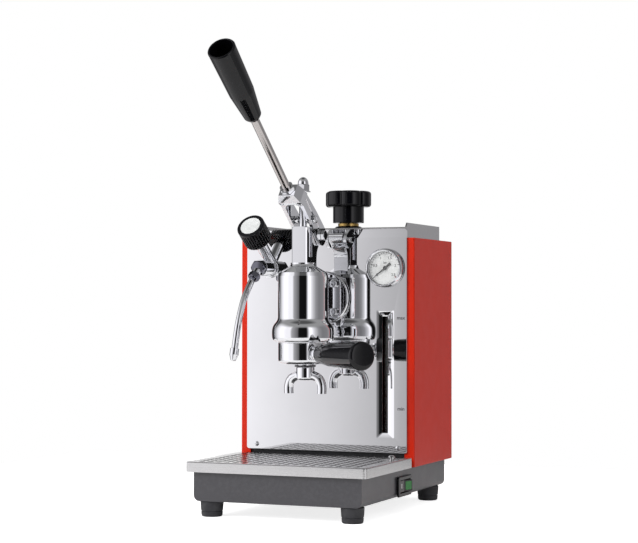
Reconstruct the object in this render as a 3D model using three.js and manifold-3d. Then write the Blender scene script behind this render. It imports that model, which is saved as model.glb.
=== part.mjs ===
// A small hand-lever espresso machine, built as separate closed solids.
//
// Millimetres. X points right, Y points back and Z points up from the floor. While the pieces are
// made, Y = 0 is the front face of the red housing's side strips; the finished group is then moved
// so that its origin lies at the bottom centre of its bounding box.

import * as THREE from 'three';
import { mergeGeometries, mergeVertices } from 'three/addons/utils/BufferGeometryUtils.js';
import Module from 'manifold-3d';

const wasm = await Module();
wasm.setup();

// Shared values

const degree = Math.PI / 180;
const fit = 0.3; // gap between pieces that touch in the real machine
const reach = 1; // how far a cutting tool runs past the face that it cuts
const coordinates = 3; // numbers per vertex in a mesh
const facets = { fine: 24, round: 20, small: 12, tiny: 8, hex: 6, corner: 3 };

// Driving dimensions, one object for each assembly

const housing = {
  halfWidth: 100, front: 0, back: 131.9, top: 287.3, sheet: 2, strip: 11, shelf: 14,
  frontCorner: 1.5, backCorner: 7,
};
// How far pieces lie inside the housing's side faces
const inset = {
  base: 8.2, foot: 22.75, plate: 7.6, leftScrew: 19.4, rightScrew: 17.5, recess: 21.6, cover: 10, gauge: 31.5,
  valve: 35, gland: 38, lid: 1.1, pan: 10.7, panFlange: 5, stud: 11.5, wing: 22.5,
};
const base = {
  halfWidth: housing.halfWidth - inset.base, front: -132.9, back: 125.2, bottom: 16.1, top: 45.5, sheet: 1.5,
  corner: 6,
};
const foot = {
  radius: 11.9, taper: 1.2, screwRecess: 4, recessDepth: 4, x: housing.halfWidth - inset.foot,
  frontY: -119.7, backY: 110.2,
};
const vent = { count: 7, halfWidth: 42, height: 4, pitch: 10, topDrop: 30 };
const deck = {
  sheet: 1.5, upstand: 15.4, backSetback: 6.1, side: 2.3, wing: 27,
  wingInner: housing.halfWidth - inset.wing,
};
const plate = { halfWidth: housing.halfWidth - inset.plate, bottom: 60, top: 296.8, sheet: 2, corner: 3 };
const plateScrew = {
  leftX: inset.leftScrew - housing.halfWidth, rightX: housing.halfWidth - inset.rightScrew, z: 65.5, head: 2.6,
  headHeight: 1.3, shank: 1.7, length: 9,
};
const recess = {
  right: housing.halfWidth - inset.recess, width: 20.3, bottom: 75.4, top: 211.2, depth: 3, leftWall: 6.2,
  rightWall: 7.5, bottomWall: 5.6, topWall: 6.9, metal: 1.5,
};
const cover = {
  halfWidth: housing.halfWidth - inset.cover, back: 121, rim: 303.5, deckTop: 298.6, sheet: 1.5, corner: 10,
  innerCorner: 8.5,
  frontCorner: 0.5, bevel: 5,
};

const boiler = {
  x: 0, y: 65, radius: 52, wall: 1.5, bottom: 78, top: 277, dome: 14, port: 22, neck: 12, neckBore: 8.8,
  neckTop: 303.1, mountRadius: 24, mountFront: 2.3, mountThickness: 4, mountNeck: 15,
  steamArm: 5,
};
const heater = { flange: 27, flangeThickness: 4, plug: 3, wire: 3, halfSpan: 13, height: 46 };
const stand = { radius: 36, wall: 2, window: 24, windowSill: 6 };
const collar = { radius: 17.5, skirt: 1, lip: 14.2, height: 4.2 };
const cap = {
  flange: 11.5, flangeHeight: 3.3, thread: 8.5, threadDepth: 14, neck: 17.2, neckHeight: 17.4,
  headInner: 22.2, lobe: 1.7, lobes: 6, headHeight: 17.8, bevel: 1.8, outlineSteps: 36,
};
const sight = {
  y: 10.5, radius: 5, bore: 3.6, bottom: 74, top: 212, head: 8, headLength: 16, seat: 4, arm: 4,
  bend: 34,
};
const gauge = {
  x: housing.halfWidth - inset.gauge, z: 255.4, radius: 20.8, front: -8.6, lip: 17.6, bore: 18.4,
  lipDepth: 0.8, body: 18.9, back: 22,
  floor: 18, glass: 1, dialFront: -3, dial: 1, hub: 2.2, hubHeight: 1.8, pointer: 13.6, tail: 7.8,
  pointerRoot: 1.1, pointerTip: 0.35, blade: 0.7, angle: -128 * degree,
};

const group = {
  y: -64, radius: 26.4, bore: 24.5, top: 249.4, ring: 32.5, ringBottom: 177.7, ringTop: 195.2,
  ringCorner: 5, flareTop: 202.6, mouth: 27, groove: 30.5, grooveBottom: 180.2, grooveTop: 184.6,
  seatTop: 194.7, notchHalf: 10.5, arrowHalf: 5.5, arrowTop: 185.2, arrowAngle: 51 * degree, arrowRadius: 29,
};
const flange = {
  z: 224, radius: 28.3, thickness: 5.4, webHalf: 8.2, webBottom: 200, webTop: 246, webCorner: 6, spigot: 13,
  spigotLength: 4.6, screwX: 12.6, screwZ: 15.1, head: 4.2, headHeight: 4.6, socket: 2.2, socketDepth: 2.4,
  shank: 2.2, shankLength: 13.4,
};
const guide = {
  spigot: 24.2, spigotDepth: 3.4, rim: 0.8, coneTop: 257, radius: 12.9, top: 297.3, edge: 1, flatHalf: 8.5,
  flatBottom: 262, slotHalf: 4.5, slotBottom: 266, rodBore: 4.5,
};
const post = { half: 8.2, front: -56, foot: -41, back: -30, waist: 274, shoulder: 6.5 };
const piston = {
  radius: 23.9, bottom: 224.6, height: 14, rod: 4.2, shoulder: 333, stud: 3, top: 341, grooveRoot: 21.5,
  grooveHeight: 3.6, lowerGroove: 2, upperGroove: 8.4, edge: 0.8,
};
const seal = { outer: 24.2, inner: 21.8 };
const gasket = { inner: 20, outer: 26.7, height: 4.1 };
const screen = { radius: 24.2, height: 1.6 };
const acorn = { hex: 6.9, hexHeight: 8.4, dome: 5.7, top: 349.4, washer: 7.6, washerHeight: 1.4 };

const pivot = { z: 305, angle: 38 * degree };
const pin = { radius: 2.4, head: 4.5, headLength: 2.4, bush: 4.2 };
const fulcrum = {
  u: -27.2, n: 1.2, radius: 3, head: 5.6, headLength: 3.6, slotFront: -45.9, slotBack: -36.8, slotZ: 289.6,
  slotHalf: 4.1,
};
const fork = {
  inner: 8.8, outer: 12.3, archCentre: 24.2, hubEnd: 49, hubShoulder: 38, hubHalf: 8.6, tailRadius: 10.9,
  pivotTop: 11, kneeU: 31, kneeTop: 8, noseTop: 5.4, noseBottom: -10.4, kneeBottom: -7.7, axisN: -2.5,
  pocketDepth: 0.8, pocketHalf: 3.2, pocketFrom: -14, pocketTo: 27,
};
const lockNut = { radius: 9.8, length: 4.7 };
const lever = { radius: 4.4, start: 36, end: 195 };
const grip = {
  start: 155, waist: 192, end: 249.4, nose: 6.4, throat: 9, waistRadius: 12.7, radius: 13.9, socket: 11.7,
  throatLength: 4, web: 5, lip: 1,
};

const filter = {
  angle: 52 * degree, turn: 45 * degree, upper: 26.5, rim: 188.7, radius: 26, shoulder: 177.3, step: 0.4,
  bottom: 154.9, corner: 5, bore: 24.3, floor: 158, outlet: 4, boss: 8.5, bossBottom: 152.1, lugReach: 29.5,
  lugHalf: 8.5, lugBottom: 180.6, lugTop: 184.2, handleZ: 166, socket: 6.8, socketEnd: 31, stud: 4,
  studEnd: 70,
};
const basket = { radius: 23.5, wall: 0.8, bottom: 162, rim: 26.2, rimThickness: 1 };
const ferrule = { radius: 8.4, length: 6.7, edge: 1.2 };
const handle = { start: 38.3, root: 9.6, neckS: 59, neck: 12.3, end: 122, radius: 14.5, crown: 2.2, bore: 72 };
const spout = {
  shiftX: 2.6, collarRadius: 11, collarHeight: 1.6, neck: 9.6, neckBottom: 138.3, edge: 1.6, top: 156.5,
  throat: 3.6, tube: 4.9, bore: 3.6, spread: 18.5, elbowZ: 143.6, tip: 124.4, elbowX: 9.5,
  bendX: 15.8, bendZ: 139, kneeZ: 132, drain: 2.4,
};

const valve = {
  x: inset.valve - housing.halfWidth, z: 256, radius: 8.5, front: -36, dome: 3, rose: 10.5,
  roseThickness: 2.6, tail: 6, tailBack: 5,
  bonnet: 6.2, bonnetStart: -19, bonnetEnd: -5, bonnetBore: 9,
};
const steamKnob = {
  foot: [0, -19, 275.7], axis: [-2, -31, 25], radius: 13.6, length: 39.4, flutes: 22, flute: 0.45,
  bevel: 1.2, stem: 3, stemBelow: 12, stemAbove: 30, cap: 10, capThickness: 1.2, fluteSteps: 2,
};
const pipe = {
  start: [-1, -34.5, 251.7], axis: [-3.2, -12, -13.4], radius: 3, boss: 5, bossEnd: 3.7, nut: 6.4,
  nutLength: 6, first: 4.4, straight: 11.5, sweepSteps: 20,
};
const pipeRoute = [[-2, -50, 238], [-3, -62.5, 222.9], [-4, -73.2, 200.4], [-4.5, -76.5, 189.7]];
const nozzle = { tip: [-5.5, -84.2, 158], length: 12, radius: 4.2, skirt: 6.5, nose: 2.2, pipeEnd: 7 };

const tray = {
  halfWidth: housing.halfWidth - inset.lid, front: -138.4, back: -4.5, bottom: 45.9, top: 56.4, sheet: 1.2,
  frontCorner: 4,
  panHalf: housing.halfWidth - inset.pan, panFront: -130.6, panBack: -6.6, panBottom: 39.5,
  flangeHalf: housing.halfWidth - inset.panFlange, flangeFront: -135, flangeTop: 47,
};
const mesh = { columns: 7, rows: 9, marginX: 11.4, marginY: 4.85, hole: 8.4, holeCorners: 4, keepOut: 13.5 };
const stud = { x: housing.halfWidth - inset.stud, y: -37.4, radius: 3.5, neck: 2.4, height: 4.5 };
const rocker = {
  y: -12.5, z: 27.5, halfLength: 19.5, halfHeight: 10.5, proud: 2.5, frame: 3, body: 20, cavity: 11,
  wing: 15, wingFace: 3.4, middleFace: 1.2, thickness: 5, tilt: 8 * degree,
};
const gland = {
  x: inset.gland - housing.halfWidth, z: 31, radius: 7, flange: 9.5, flangeThickness: 2.5, length: 11, bore: 3.8,
  taper: 1.5,
};

// Finishes, as the photograph shows them

const finish = {
  basePaint: { color: 0x4a494d, roughness: 0.45, metalness: 0.5 },
  rubber: { color: 0x242427, roughness: 0.85, metalness: 0 },
  blackSteel: { color: 0x1f1f22, roughness: 0.6, metalness: 0.4 },
  redPaint: { color: 0xc4261a, roughness: 0.35, metalness: 0.1 },
  mirror: { color: 0xd9d9db, roughness: 0.06, metalness: 1 },
  steel: { color: 0xc9c9ca, roughness: 0.3, metalness: 1 },
  chrome: { color: 0xdedfe2, roughness: 0.08, metalness: 1 },
  brass: { color: 0xb08a3e, roughness: 0.3, metalness: 1 },
  blackPlastic: { color: 0x151518, roughness: 0.3, metalness: 0 },
  whitePlastic: { color: 0xe6e6e2, roughness: 0.4, metalness: 0 },
  greenPlastic: { color: 0x2f9a4c, roughness: 0.3, metalness: 0 },
  glass: { color: 0xeef3f3, roughness: 0.05, metalness: 0 },
  seal: { color: 0x2b2b2d, roughness: 0.7, metalness: 0 },
};

// Geometry helpers

/** Turns a closed three.js geometry into a manifold with outward faces. */
function toManifold(geometry) {
  const bare = geometry.clone();
  bare.deleteAttribute('normal');
  bare.deleteAttribute('uv');
  const welded = mergeVertices(bare);
  const position = welded.attributes.position;
  const index = welded.index.array;
  const corner = [new THREE.Vector3(), new THREE.Vector3(), new THREE.Vector3()];
  const triangles = [];
  let volume = 0;
  for (let i = 0; i < index.length; i += corner.length) {
    const [a, b, c] = [index[i], index[i + 1], index[i + 2]];
    if (a === b || b === c || c === a) continue;
    corner.forEach((point, k) => point.fromBufferAttribute(position, index[i + k]));
    volume += corner[0].dot(corner[1].clone().cross(corner[2]));
    triangles.push([a, b, c]);
  }
  const outward = volume < 0 ? triangles.map(([a, b, c]) => [a, c, b]) : triangles;
  return new wasm.Manifold(new wasm.Mesh({
    numProp: coordinates,
    vertProperties: Float32Array.from(position.array),
    triVerts: Uint32Array.from(outward.flat()),
  }));
}

/** Accepts a three.js geometry or a manifold and gives a manifold. */
const solid = (shape) => (shape.isBufferGeometry ? toManifold(shape) : shape);

/** Joins closed shapes into one solid. */
const join = (...shapes) => shapes.map(solid).reduce((whole, next) => whole.add(next));

/** Cuts every tool out of a body. */
const cut = (body, ...tools) => tools.map(solid).reduce((rest, tool) => rest.subtract(tool), solid(body));

/** Keeps what two shapes have in common. */
const common = (a, b) => solid(a).intersect(solid(b));

/** Makes a named mesh with its own material from a shape. */
function piece(name, shape, look) {
  const { vertProperties, triVerts } = solid(shape).getMesh();
  const geometry = new THREE.BufferGeometry();
  geometry.setAttribute('position', new THREE.BufferAttribute(vertProperties, coordinates));
  geometry.setIndex(new THREE.BufferAttribute(triVerts, 1));
  geometry.computeVertexNormals();
  const made = new THREE.Mesh(geometry, new THREE.MeshStandardMaterial(look));
  made.name = name;
  return made;
}

/** Makes a named group with the given children. */
function assembly(name, ...children) {
  const made = new THREE.Group();
  made.name = name;
  made.add(...children.flat());
  return made;
}

/** Box between two corners. */
function box([x0, x1], [y0, y1], [z0, z1]) {
  const geometry = new THREE.BoxGeometry(x1 - x0, y1 - y0, z1 - z0);
  return geometry.translate((x0 + x1) / 2, (y0 + y1) / 2, (z0 + z1) / 2);
}

/** Outline through corner points. */
const outline = (points) => new THREE.Shape(points.map(([a, b]) => new THREE.Vector2(a, b)));

/** Rectangle with one corner radius along its low edge and one along its high edge. */
function roundedRectangle([a0, a1], [b0, b1], low, high = low) {
  const shape = new THREE.Shape();
  shape.moveTo(a0 + low, b0);
  shape.lineTo(a1 - low, b0);
  if (low > 0) shape.absarc(a1 - low, b0 + low, low, -Math.PI / 2, 0);
  shape.lineTo(a1, b1 - high);
  if (high > 0) shape.absarc(a1 - high, b1 - high, high, 0, Math.PI / 2);
  shape.lineTo(a0 + high, b1);
  if (high > 0) shape.absarc(a0 + high, b1 - high, high, Math.PI / 2, Math.PI);
  shape.lineTo(a0, b0 + low);
  if (low > 0) shape.absarc(a0 + low, b0 + low, low, Math.PI, Math.PI * 3 / 2);
  return shape;
}

/** Slot with round ends along the first axis. */
function stadium([a0, a1], b, radius) {
  const shape = new THREE.Shape();
  shape.absarc(a1, b, radius, -Math.PI / 2, Math.PI / 2);
  shape.absarc(a0, b, radius, Math.PI / 2, Math.PI * 3 / 2);
  return shape;
}

/** Regular outline with the given number of corners, or a circle for many of them. */
function ngon(radius, count, a = 0, b = 0) {
  const turn = Math.PI * 2 / count;
  return outline(Array.from({ length: count }, (_, i) => [
    a + radius * Math.cos(i * turn), b + radius * Math.sin(i * turn),
  ]));
}

/** Extrudes an outline drawn in X and Y along Z. */
function prismZ(shape, [z0, z1], curveSegments = facets.corner) {
  const geometry = new THREE.ExtrudeGeometry(shape, { depth: z1 - z0, bevelEnabled: false, curveSegments });
  return geometry.translate(0, 0, z0);
}

/** Extrudes an outline drawn in Y and Z along X. */
function prismX(shape, span, curveSegments = facets.corner) {
  const cycle = new THREE.Matrix4().makeBasis(
    new THREE.Vector3(0, 1, 0), new THREE.Vector3(0, 0, 1), new THREE.Vector3(1, 0, 0),
  );
  return prismZ(shape, span, curveSegments).applyMatrix4(cycle);
}

/** Extrudes an outline drawn in X and Z along Y. */
function prismY(shape, [y0, y1], curveSegments = facets.corner) {
  return prismZ(shape, [-y1, -y0], curveSegments).rotateX(Math.PI / 2);
}

/** Turns a profile of [radius, height] points about Z. A ring's profile ends where it starts. */
function turned(profile, count = facets.round) {
  const points = profile.map(([radius, height]) => new THREE.Vector2(radius, height));
  return new THREE.LatheGeometry(points, count).rotateX(Math.PI / 2);
}

/** Turned ring, with the first point repeated to close the profile. */
const ring = (profile, count) => turned([...profile, profile[0]], count);

/** Turned shape whose heights run along Y. */
const turnedY = (profile, count) => turned(profile, count).rotateX(-Math.PI / 2);

/** Profile points on a quarter or other part of an ellipse. */
function arc([centreR, centreZ], [radiusR, radiusZ], from, to, steps = facets.corner) {
  return Array.from({ length: steps + 1 }, (_, i) => {
    const angle = from + (to - from) * i / steps;
    return [centreR + radiusR * Math.cos(angle), centreZ + radiusZ * Math.sin(angle)];
  });
}

/** Round bar or tapered bar between two points. */
function bar(from, to, radius, count = facets.small, endRadius = radius) {
  const [a, b] = [new THREE.Vector3(...from), new THREE.Vector3(...to)];
  const geometry = new THREE.CylinderGeometry(endRadius, radius, a.distanceTo(b), count);
  const direction = b.clone().sub(a).normalize();
  geometry.applyQuaternion(new THREE.Quaternion().setFromUnitVectors(THREE.Object3D.DEFAULT_UP, direction));
  const middle = a.add(b).multiplyScalar(1 / 2);
  return geometry.translate(middle.x, middle.y, middle.z);
}

/** Cutter for a round hole: its flats, not its edges, lie on the radius. */
function hole(from, to, radius, count = facets.small) {
  return bar(from, to, radius / Math.cos(Math.PI / count), count);
}

/** Round section carried along a smooth curve through points. */
function sweep(points, radius, steps, count = facets.tiny) {
  const extrudePath = new THREE.CatmullRomCurve3(points.map((point) => new THREE.Vector3(...point)));
  return new THREE.ExtrudeGeometry(ngon(radius, count), { extrudePath, steps, bevelEnabled: false });
}

/** Block whose front and back faces are two rectangles, for the walls of a pressed recess. */
function tapered(front, back, [y0, y1]) {
  const geometry = new THREE.BoxGeometry(1, 1, 1);
  const position = geometry.attributes.position;
  for (let i = 0; i < position.count; i += 1) {
    const face = position.getY(i) < 0 ? front : back;
    position.setXYZ(
      i,
      position.getX(i) < 0 ? face.left : face.right,
      position.getY(i) < 0 ? y0 : y1,
      position.getZ(i) < 0 ? face.bottom : face.top,
    );
  }
  return geometry;
}

/** Point at a distance along an axis from a start point. */
function along(start, axis, distance) {
  const step = new THREE.Vector3(...axis).normalize().multiplyScalar(distance);
  return new THREE.Vector3(...start).add(step).toArray();
}

/** Turns a group's Z axis to a direction and puts its origin at a point. */
function aim(made, point, axis) {
  made.position.set(...point);
  made.quaternion.setFromUnitVectors(new THREE.Vector3(0, 0, 1), new THREE.Vector3(...axis).normalize());
  return made;
}

// Places that several assemblies share

const plateFront = housing.front - fit - plate.sheet;
const plateBack = housing.front - fit;
const flangeBack = plateFront - fit;
const deckBottom = base.top + fit;
const deckTop = deckBottom + deck.sheet;
const coverBottom = housing.top + fit;
const standTop = boiler.bottom - fit;
const recessLeft = recess.right - recess.width;
const slot = {
  left: recessLeft + recess.leftWall,
  right: recess.right - recess.rightWall,
  bottom: recess.bottom + recess.bottomWall,
  top: recess.top - recess.topWall,
};
const sightX = (slot.left + slot.right) / 2;

// Base and housing

/** Folded base pan, open above, with a cut-out for the switch and one for the cord gland. */
function basePan() {
  const span = [-base.halfWidth, base.halfWidth];
  const inside = [-base.halfWidth + base.sheet, base.halfWidth - base.sheet];
  const shell = prismY(roundedRectangle(span, [base.bottom, base.top], base.corner, 0), [base.front, base.back]);
  const hollow = prismY(
    roundedRectangle(inside, [base.bottom + base.sheet, base.top + reach], base.corner - base.sheet, 0),
    [base.front + base.sheet, base.back - base.sheet],
  );
  const [reachY, reachZ] = [rocker.halfLength - rocker.frame + fit, rocker.halfHeight - rocker.frame + fit];
  const switchHole = box(
    [inside[1] - reach, span[1] + reach],
    [rocker.y - reachY, rocker.y + reachY],
    [rocker.z - reachZ, rocker.z + reachZ],
  );
  const glandFront = base.back - base.sheet - reach;
  const glandHole = hole([gland.x, glandFront, gland.z], [gland.x, base.back + reach, gland.z], gland.radius + fit);
  return piece('base_pan', cut(shell, hollow, switchHole, glandHole), finish.basePaint);
}

/** Turned rubber foot with a screw recess below. */
function rubberFoot(name, x, y) {
  const top = base.bottom - fit;
  const shape = turned([
    [0, foot.recessDepth], [foot.screwRecess, foot.recessDepth], [foot.screwRecess, 0],
    [foot.radius - foot.taper * 2, 0], [foot.radius - foot.taper, foot.taper], [foot.radius, top - foot.taper],
    [foot.radius, top], [0, top],
  ], facets.small);
  return piece(name, shape.translate(x, y, 0), finish.rubber);
}

/** Dark deck over the base, with an upstand under the front plate and two wings for its screws. */
function deckPlate() {
  const [front, back] = [housing.front + housing.sheet + fit, housing.back - deck.backSetback];
  const half = housing.halfWidth - deck.side;
  const profile = outline([
    [front, deckBottom], [back, deckBottom], [back, deckTop], [front + deck.sheet, deckTop],
    [front + deck.sheet, deckBottom + deck.upstand], [front, deckBottom + deck.upstand],
  ]);
  const wings = [-1, 1].map((side) => {
    const span = [side * deck.wingInner, side * half].sort((a, b) => a - b);
    return box(span, [front, front + deck.sheet], [deckBottom, deckBottom + deck.wing]);
  });
  const threads = [plateScrew.leftX, plateScrew.rightX].map((x) => hole([x, front - reach, plateScrew.z],
    [x, front + deck.sheet + reach, plateScrew.z], plateScrew.shank + fit, facets.tiny));
  return piece('deck_plate', cut(join(prismX(profile, [-half, half]), ...wings), ...threads), finish.blackSteel);
}

/** Red sheet housing: sides, back, front strips and a narrow shelf round the top. */
function redHousing() {
  const { halfWidth, front, back, top, sheet } = housing;
  const wall = roundedRectangle([-halfWidth, halfWidth], [front, back], housing.frontCorner, housing.backCorner);
  const inner = roundedRectangle(
    [-halfWidth + sheet, halfWidth - sheet], [front + sheet, back - sheet], 0, housing.backCorner - sheet,
  );
  const stripEdge = halfWidth - housing.strip;
  const shelfEdge = halfWidth - housing.shelf;
  const frontOpening = box([-stripEdge, stripEdge], [front - reach, front + sheet + reach],
    [deckBottom - reach, top + reach]);
  const topOpening = box([-shelfEdge, shelfEdge], [front - reach, back - housing.shelf], [top - sheet - reach,
    top + reach]);
  const vents = Array.from({ length: vent.count }, (_, i) => {
    const z = top - vent.topDrop - i * vent.pitch;
    return prismY(stadium([-vent.halfWidth, vent.halfWidth], z, vent.height / 2), [back - sheet - reach,
      back + reach]);
  });
  const shape = cut(prismZ(wall, [deckBottom, top]), prismZ(inner, [deckBottom - reach, top - sheet]),
    frontOpening, topOpening, ...vents);
  return piece('red_housing', shape, finish.redPaint);
}

/** Mirror-polished front plate with the pressed recess and the slot over the sight glass. */
function frontPlate() {
  const sheet = [plateFront, plateBack];
  const blank = prismY(
    roundedRectangle([-plate.halfWidth, plate.halfWidth], [plate.bottom, plate.top], plate.corner), sheet,
  );
  const mouth = { left: recessLeft, right: recess.right, bottom: recess.bottom, top: recess.top };
  const wider = ({ left, right, bottom, top }) => ({
    left: left - recess.metal,
    right: right + recess.metal,
    bottom: bottom - recess.metal,
    top: top + recess.metal,
  });
  const floor = plateFront + recess.depth;
  const pressed = tapered(wider(mouth), wider(slot), [plateFront + recess.metal / 2, floor + recess.metal]);
  const hollow = tapered(mouth, slot, [plateFront, floor]);
  const slotCut = box([slot.left, slot.right], [plateFront - reach, floor + recess.metal + reach],
    [slot.bottom, slot.top]);
  const drill = [plateFront - reach, plateBack + reach];
  const bore = (x, z, radius) => hole([x, drill[0], z], [x, drill[1], z], radius, facets.round);
  const holes = [
    bore(0, flange.z, flange.spigot + fit),
    bore(gauge.x, gauge.z, gauge.body + fit),
    bore(valve.x, valve.z, valve.tail + fit),
    ...[plateScrew.leftX, plateScrew.rightX].map((x) => bore(x, plateScrew.z, plateScrew.shank + fit)),
    ...flangeScrewPlaces().map(([x, z]) => bore(x, z, flange.shank + fit)),
  ];
  return piece('front_plate', cut(join(blank, pressed), hollow, slotCut, ...holes), finish.mirror);
}

/** Small round-head screw that holds the front plate. */
function frontScrew(name, x) {
  const head = plateFront - fit;
  const shape = turnedY([
    [0, -plateScrew.headHeight], ...arc([0, 0], [plateScrew.head, plateScrew.headHeight], -Math.PI / 2, 0),
    [plateScrew.shank, 0], [plateScrew.shank, plateScrew.length], [0, plateScrew.length],
  ], facets.tiny);
  return piece(name, shape.translate(x, head, plateScrew.z), finish.chrome);
}

/** Steel cup cover: a skirt with raised side and back edges round a flat deck. */
function cupCover() {
  const { halfWidth, back, rim, sheet } = cover;
  const front = housing.front + fit;
  const outer = roundedRectangle([-halfWidth, halfWidth], [front, back], cover.frontCorner, cover.corner);
  const inner = roundedRectangle(
    [-halfWidth + sheet, halfWidth - sheet], [front + sheet, back - sheet], 0, cover.innerCorner,
  );
  const deckSpan = [cover.deckTop - sheet, cover.deckTop];
  const walls = cut(prismZ(outer, [coverBottom, rim]), prismZ(inner, [coverBottom - reach, rim + reach]));
  const frontGap = prismX(outline([
    [front - reach, cover.deckTop], [front + sheet + reach, cover.deckTop], [front + sheet + cover.bevel, rim],
    [front + sheet + cover.bevel, rim + reach], [front - reach, rim + reach],
  ]), [-halfWidth - reach, halfWidth + reach]);
  const frontEdge = box([-halfWidth, halfWidth], [plateFront, front + sheet], deckSpan);
  const deckSheet = join(prismZ(outer, deckSpan), frontEdge);
  const neckHole = hole([boiler.x, boiler.y, deckSpan[0] - reach], [boiler.x, boiler.y, deckSpan[1] + reach],
    boiler.neck + fit, facets.fine);
  return piece('cup_cover', cut(join(cut(walls, frontGap), deckSheet), neckHole), finish.steel);
}

// Boiler and fittings

/** Hollow boiler with its filler neck, group mount, sight-glass arms and steam outlet. */
function boilerBody() {
  const { x, y, radius, wall, bottom, top, dome, port, neck, neckBore, neckTop } = boiler;
  const quarter = Math.PI / 2;
  const vessel = ring([
    [port, bottom], ...arc([radius - dome, bottom + dome], [dome, dome], -quarter, 0),
    ...arc([radius - dome, top - dome], [dome, dome], 0, quarter), [neck, top], [neck, neckTop],
    [neckBore, neckTop], [neckBore, top - wall],
    ...arc([radius - dome, top - dome], [dome - wall, dome - wall], quarter, 0),
    ...arc([radius - dome, bottom + dome], [dome - wall, dome - wall], 0, -quarter), [port, bottom + wall],
  ]).translate(x, y, 0);
  const mountBack = boiler.mountFront + boiler.mountThickness;
  const wallFront = y - radius;
  const mount = join(
    bar([0, boiler.mountFront, flange.z], [0, mountBack, flange.z], boiler.mountRadius, facets.round),
    bar([0, boiler.mountFront, flange.z], [0, wallFront + wall, flange.z], boiler.mountNeck),
  );
  const screwHoles = flangeScrewPlaces().map(([sx, sz]) => hole([sx, boiler.mountFront - reach, sz],
    [sx, mountBack + reach, sz], flange.shank + fit, facets.tiny));
  const steamEnd = [valve.x, valve.tailBack + fit, valve.z];
  const toAxis = [x - steamEnd[0], y - steamEnd[1], 0];
  const armEnd = Math.hypot(...toAxis) - radius + wall;
  const armStart = along(steamEnd, toAxis, boiler.steamArm);
  const steamArm = bar(armStart, along(steamEnd, toAxis, armEnd), boiler.steamArm);
  return piece('boiler', join(cut(join(vessel, mount), ...screwHoles), steamArm, ...sightArms()), finish.brass);
}

/** The two arms and heads that hold the sight glass. */
function sightArms() {
  const distance = Math.hypot(sightX - boiler.x, sight.y - boiler.y);
  const armLength = distance - boiler.radius + boiler.wall;
  const toBoiler = [boiler.x - sightX, boiler.y - sight.y, 0];
  return [[sight.bottom, -1], [sight.top, 1]].map(([end, side]) => {
    const mouth = end - side * sight.seat;
    const outerEnd = mouth + side * sight.headLength;
    const head = bar([sightX, sight.y, mouth], [sightX, sight.y, outerEnd], sight.head);
    const seat = hole([sightX, sight.y, mouth - side * reach], [sightX, sight.y, end + side * fit],
      sight.radius + fit);
    const low = [sightX, sight.y, (end + side * fit + outerEnd) / 2];
    const high = [sightX, sight.y, low[2] - side * sight.bend];
    const route = [low, along(low, toBoiler, sight.head), along(high, toBoiler, armLength - sight.head),
      along(high, toBoiler, armLength)];
    return cut(join(head, sweep(route, sight.arm, facets.tiny)), seat);
  });
}

/** Flange and hairpin heating rod in the boiler's bottom port. */
function heatingElement() {
  const top = boiler.bottom + boiler.wall + heater.plug;
  const body = turned([
    [0, standTop - heater.flangeThickness], [heater.flange, standTop - heater.flangeThickness],
    [heater.flange, standTop], [boiler.port - fit, standTop], [boiler.port - fit, top], [0, top],
  ]);
  const hairpin = sweep([
    [-heater.halfSpan, 0, top - heater.wire], [-heater.halfSpan, 0, top + heater.height],
    [0, 0, top + heater.height + heater.halfSpan], [heater.halfSpan, 0, top + heater.height],
    [heater.halfSpan, 0, top - heater.wire],
  ], heater.wire, facets.small);
  return piece('heating_element', join(body, hairpin).translate([boiler.x, boiler.y, 0]), finish.steel);
}

/** Ring stand between the deck and the boiler, with windows for the wiring. */
function boilerStand() {
  const wall = ring([
    [stand.radius - stand.wall, deckTop + fit], [stand.radius, deckTop + fit], [stand.radius, standTop],
    [stand.radius - stand.wall, standTop],
  ]);
  const half = stand.window / 2;
  const height = [deckTop + fit + stand.windowSill, standTop - stand.windowSill];
  const far = stand.radius + reach;
  const body = cut(wall, box([-half, half], [-far, far], height), box([-far, far], [-half, half], height));
  return piece('boiler_stand', body.translate([boiler.x, boiler.y, 0]), finish.blackSteel);
}

/** Chrome collar round the filler neck. */
function boilerCollar() {
  const bottom = cover.deckTop + fit;
  const bore = boiler.neck + fit;
  const shape = ring([
    [bore, bottom], [collar.radius, bottom], [collar.radius, bottom + collar.skirt],
    [collar.lip, bottom + collar.height], [bore, bottom + collar.height],
  ]);
  return piece('boiler_collar', shape.translate(boiler.x, boiler.y, 0), finish.chrome);
}

/** Brass threaded plug and the lobed black knob on it. */
function boilerCap() {
  const plugBottom = boiler.neckTop + fit;
  const plugTop = plugBottom + cap.flangeHeight;
  const plug = turned([
    [0, plugBottom - cap.threadDepth], [cap.thread, plugBottom - cap.threadDepth], [cap.thread, plugBottom],
    [cap.flange, plugBottom], [cap.flange, plugTop], [0, plugTop],
  ], facets.small);
  const knobBottom = plugTop + fit;
  const headBottom = knobBottom + cap.neckHeight;
  const lobed = outline(Array.from({ length: cap.outlineSteps }, (_, i) => {
    const angle = Math.PI * 2 * i / cap.outlineSteps;
    const radius = cap.headInner + cap.lobe * Math.cos(cap.lobes * angle);
    return [radius * Math.cos(angle), radius * Math.sin(angle)];
  }));
  const head = new THREE.ExtrudeGeometry(lobed, {
    depth: cap.headHeight - cap.bevel * 2, bevelThickness: cap.bevel, bevelSize: cap.bevel, bevelSegments: 1,
  }).translate(0, 0, headBottom + cap.bevel);
  const neck = bar([0, 0, knobBottom], [0, 0, headBottom + cap.bevel * 2], cap.neck, facets.round);
  const made = assembly('boiler_cap', piece('cap_plug', plug, finish.brass),
    piece('cap_knob', join(neck, head), finish.blackPlastic));
  made.position.set(boiler.x, boiler.y, 0);
  return made;
}

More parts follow.
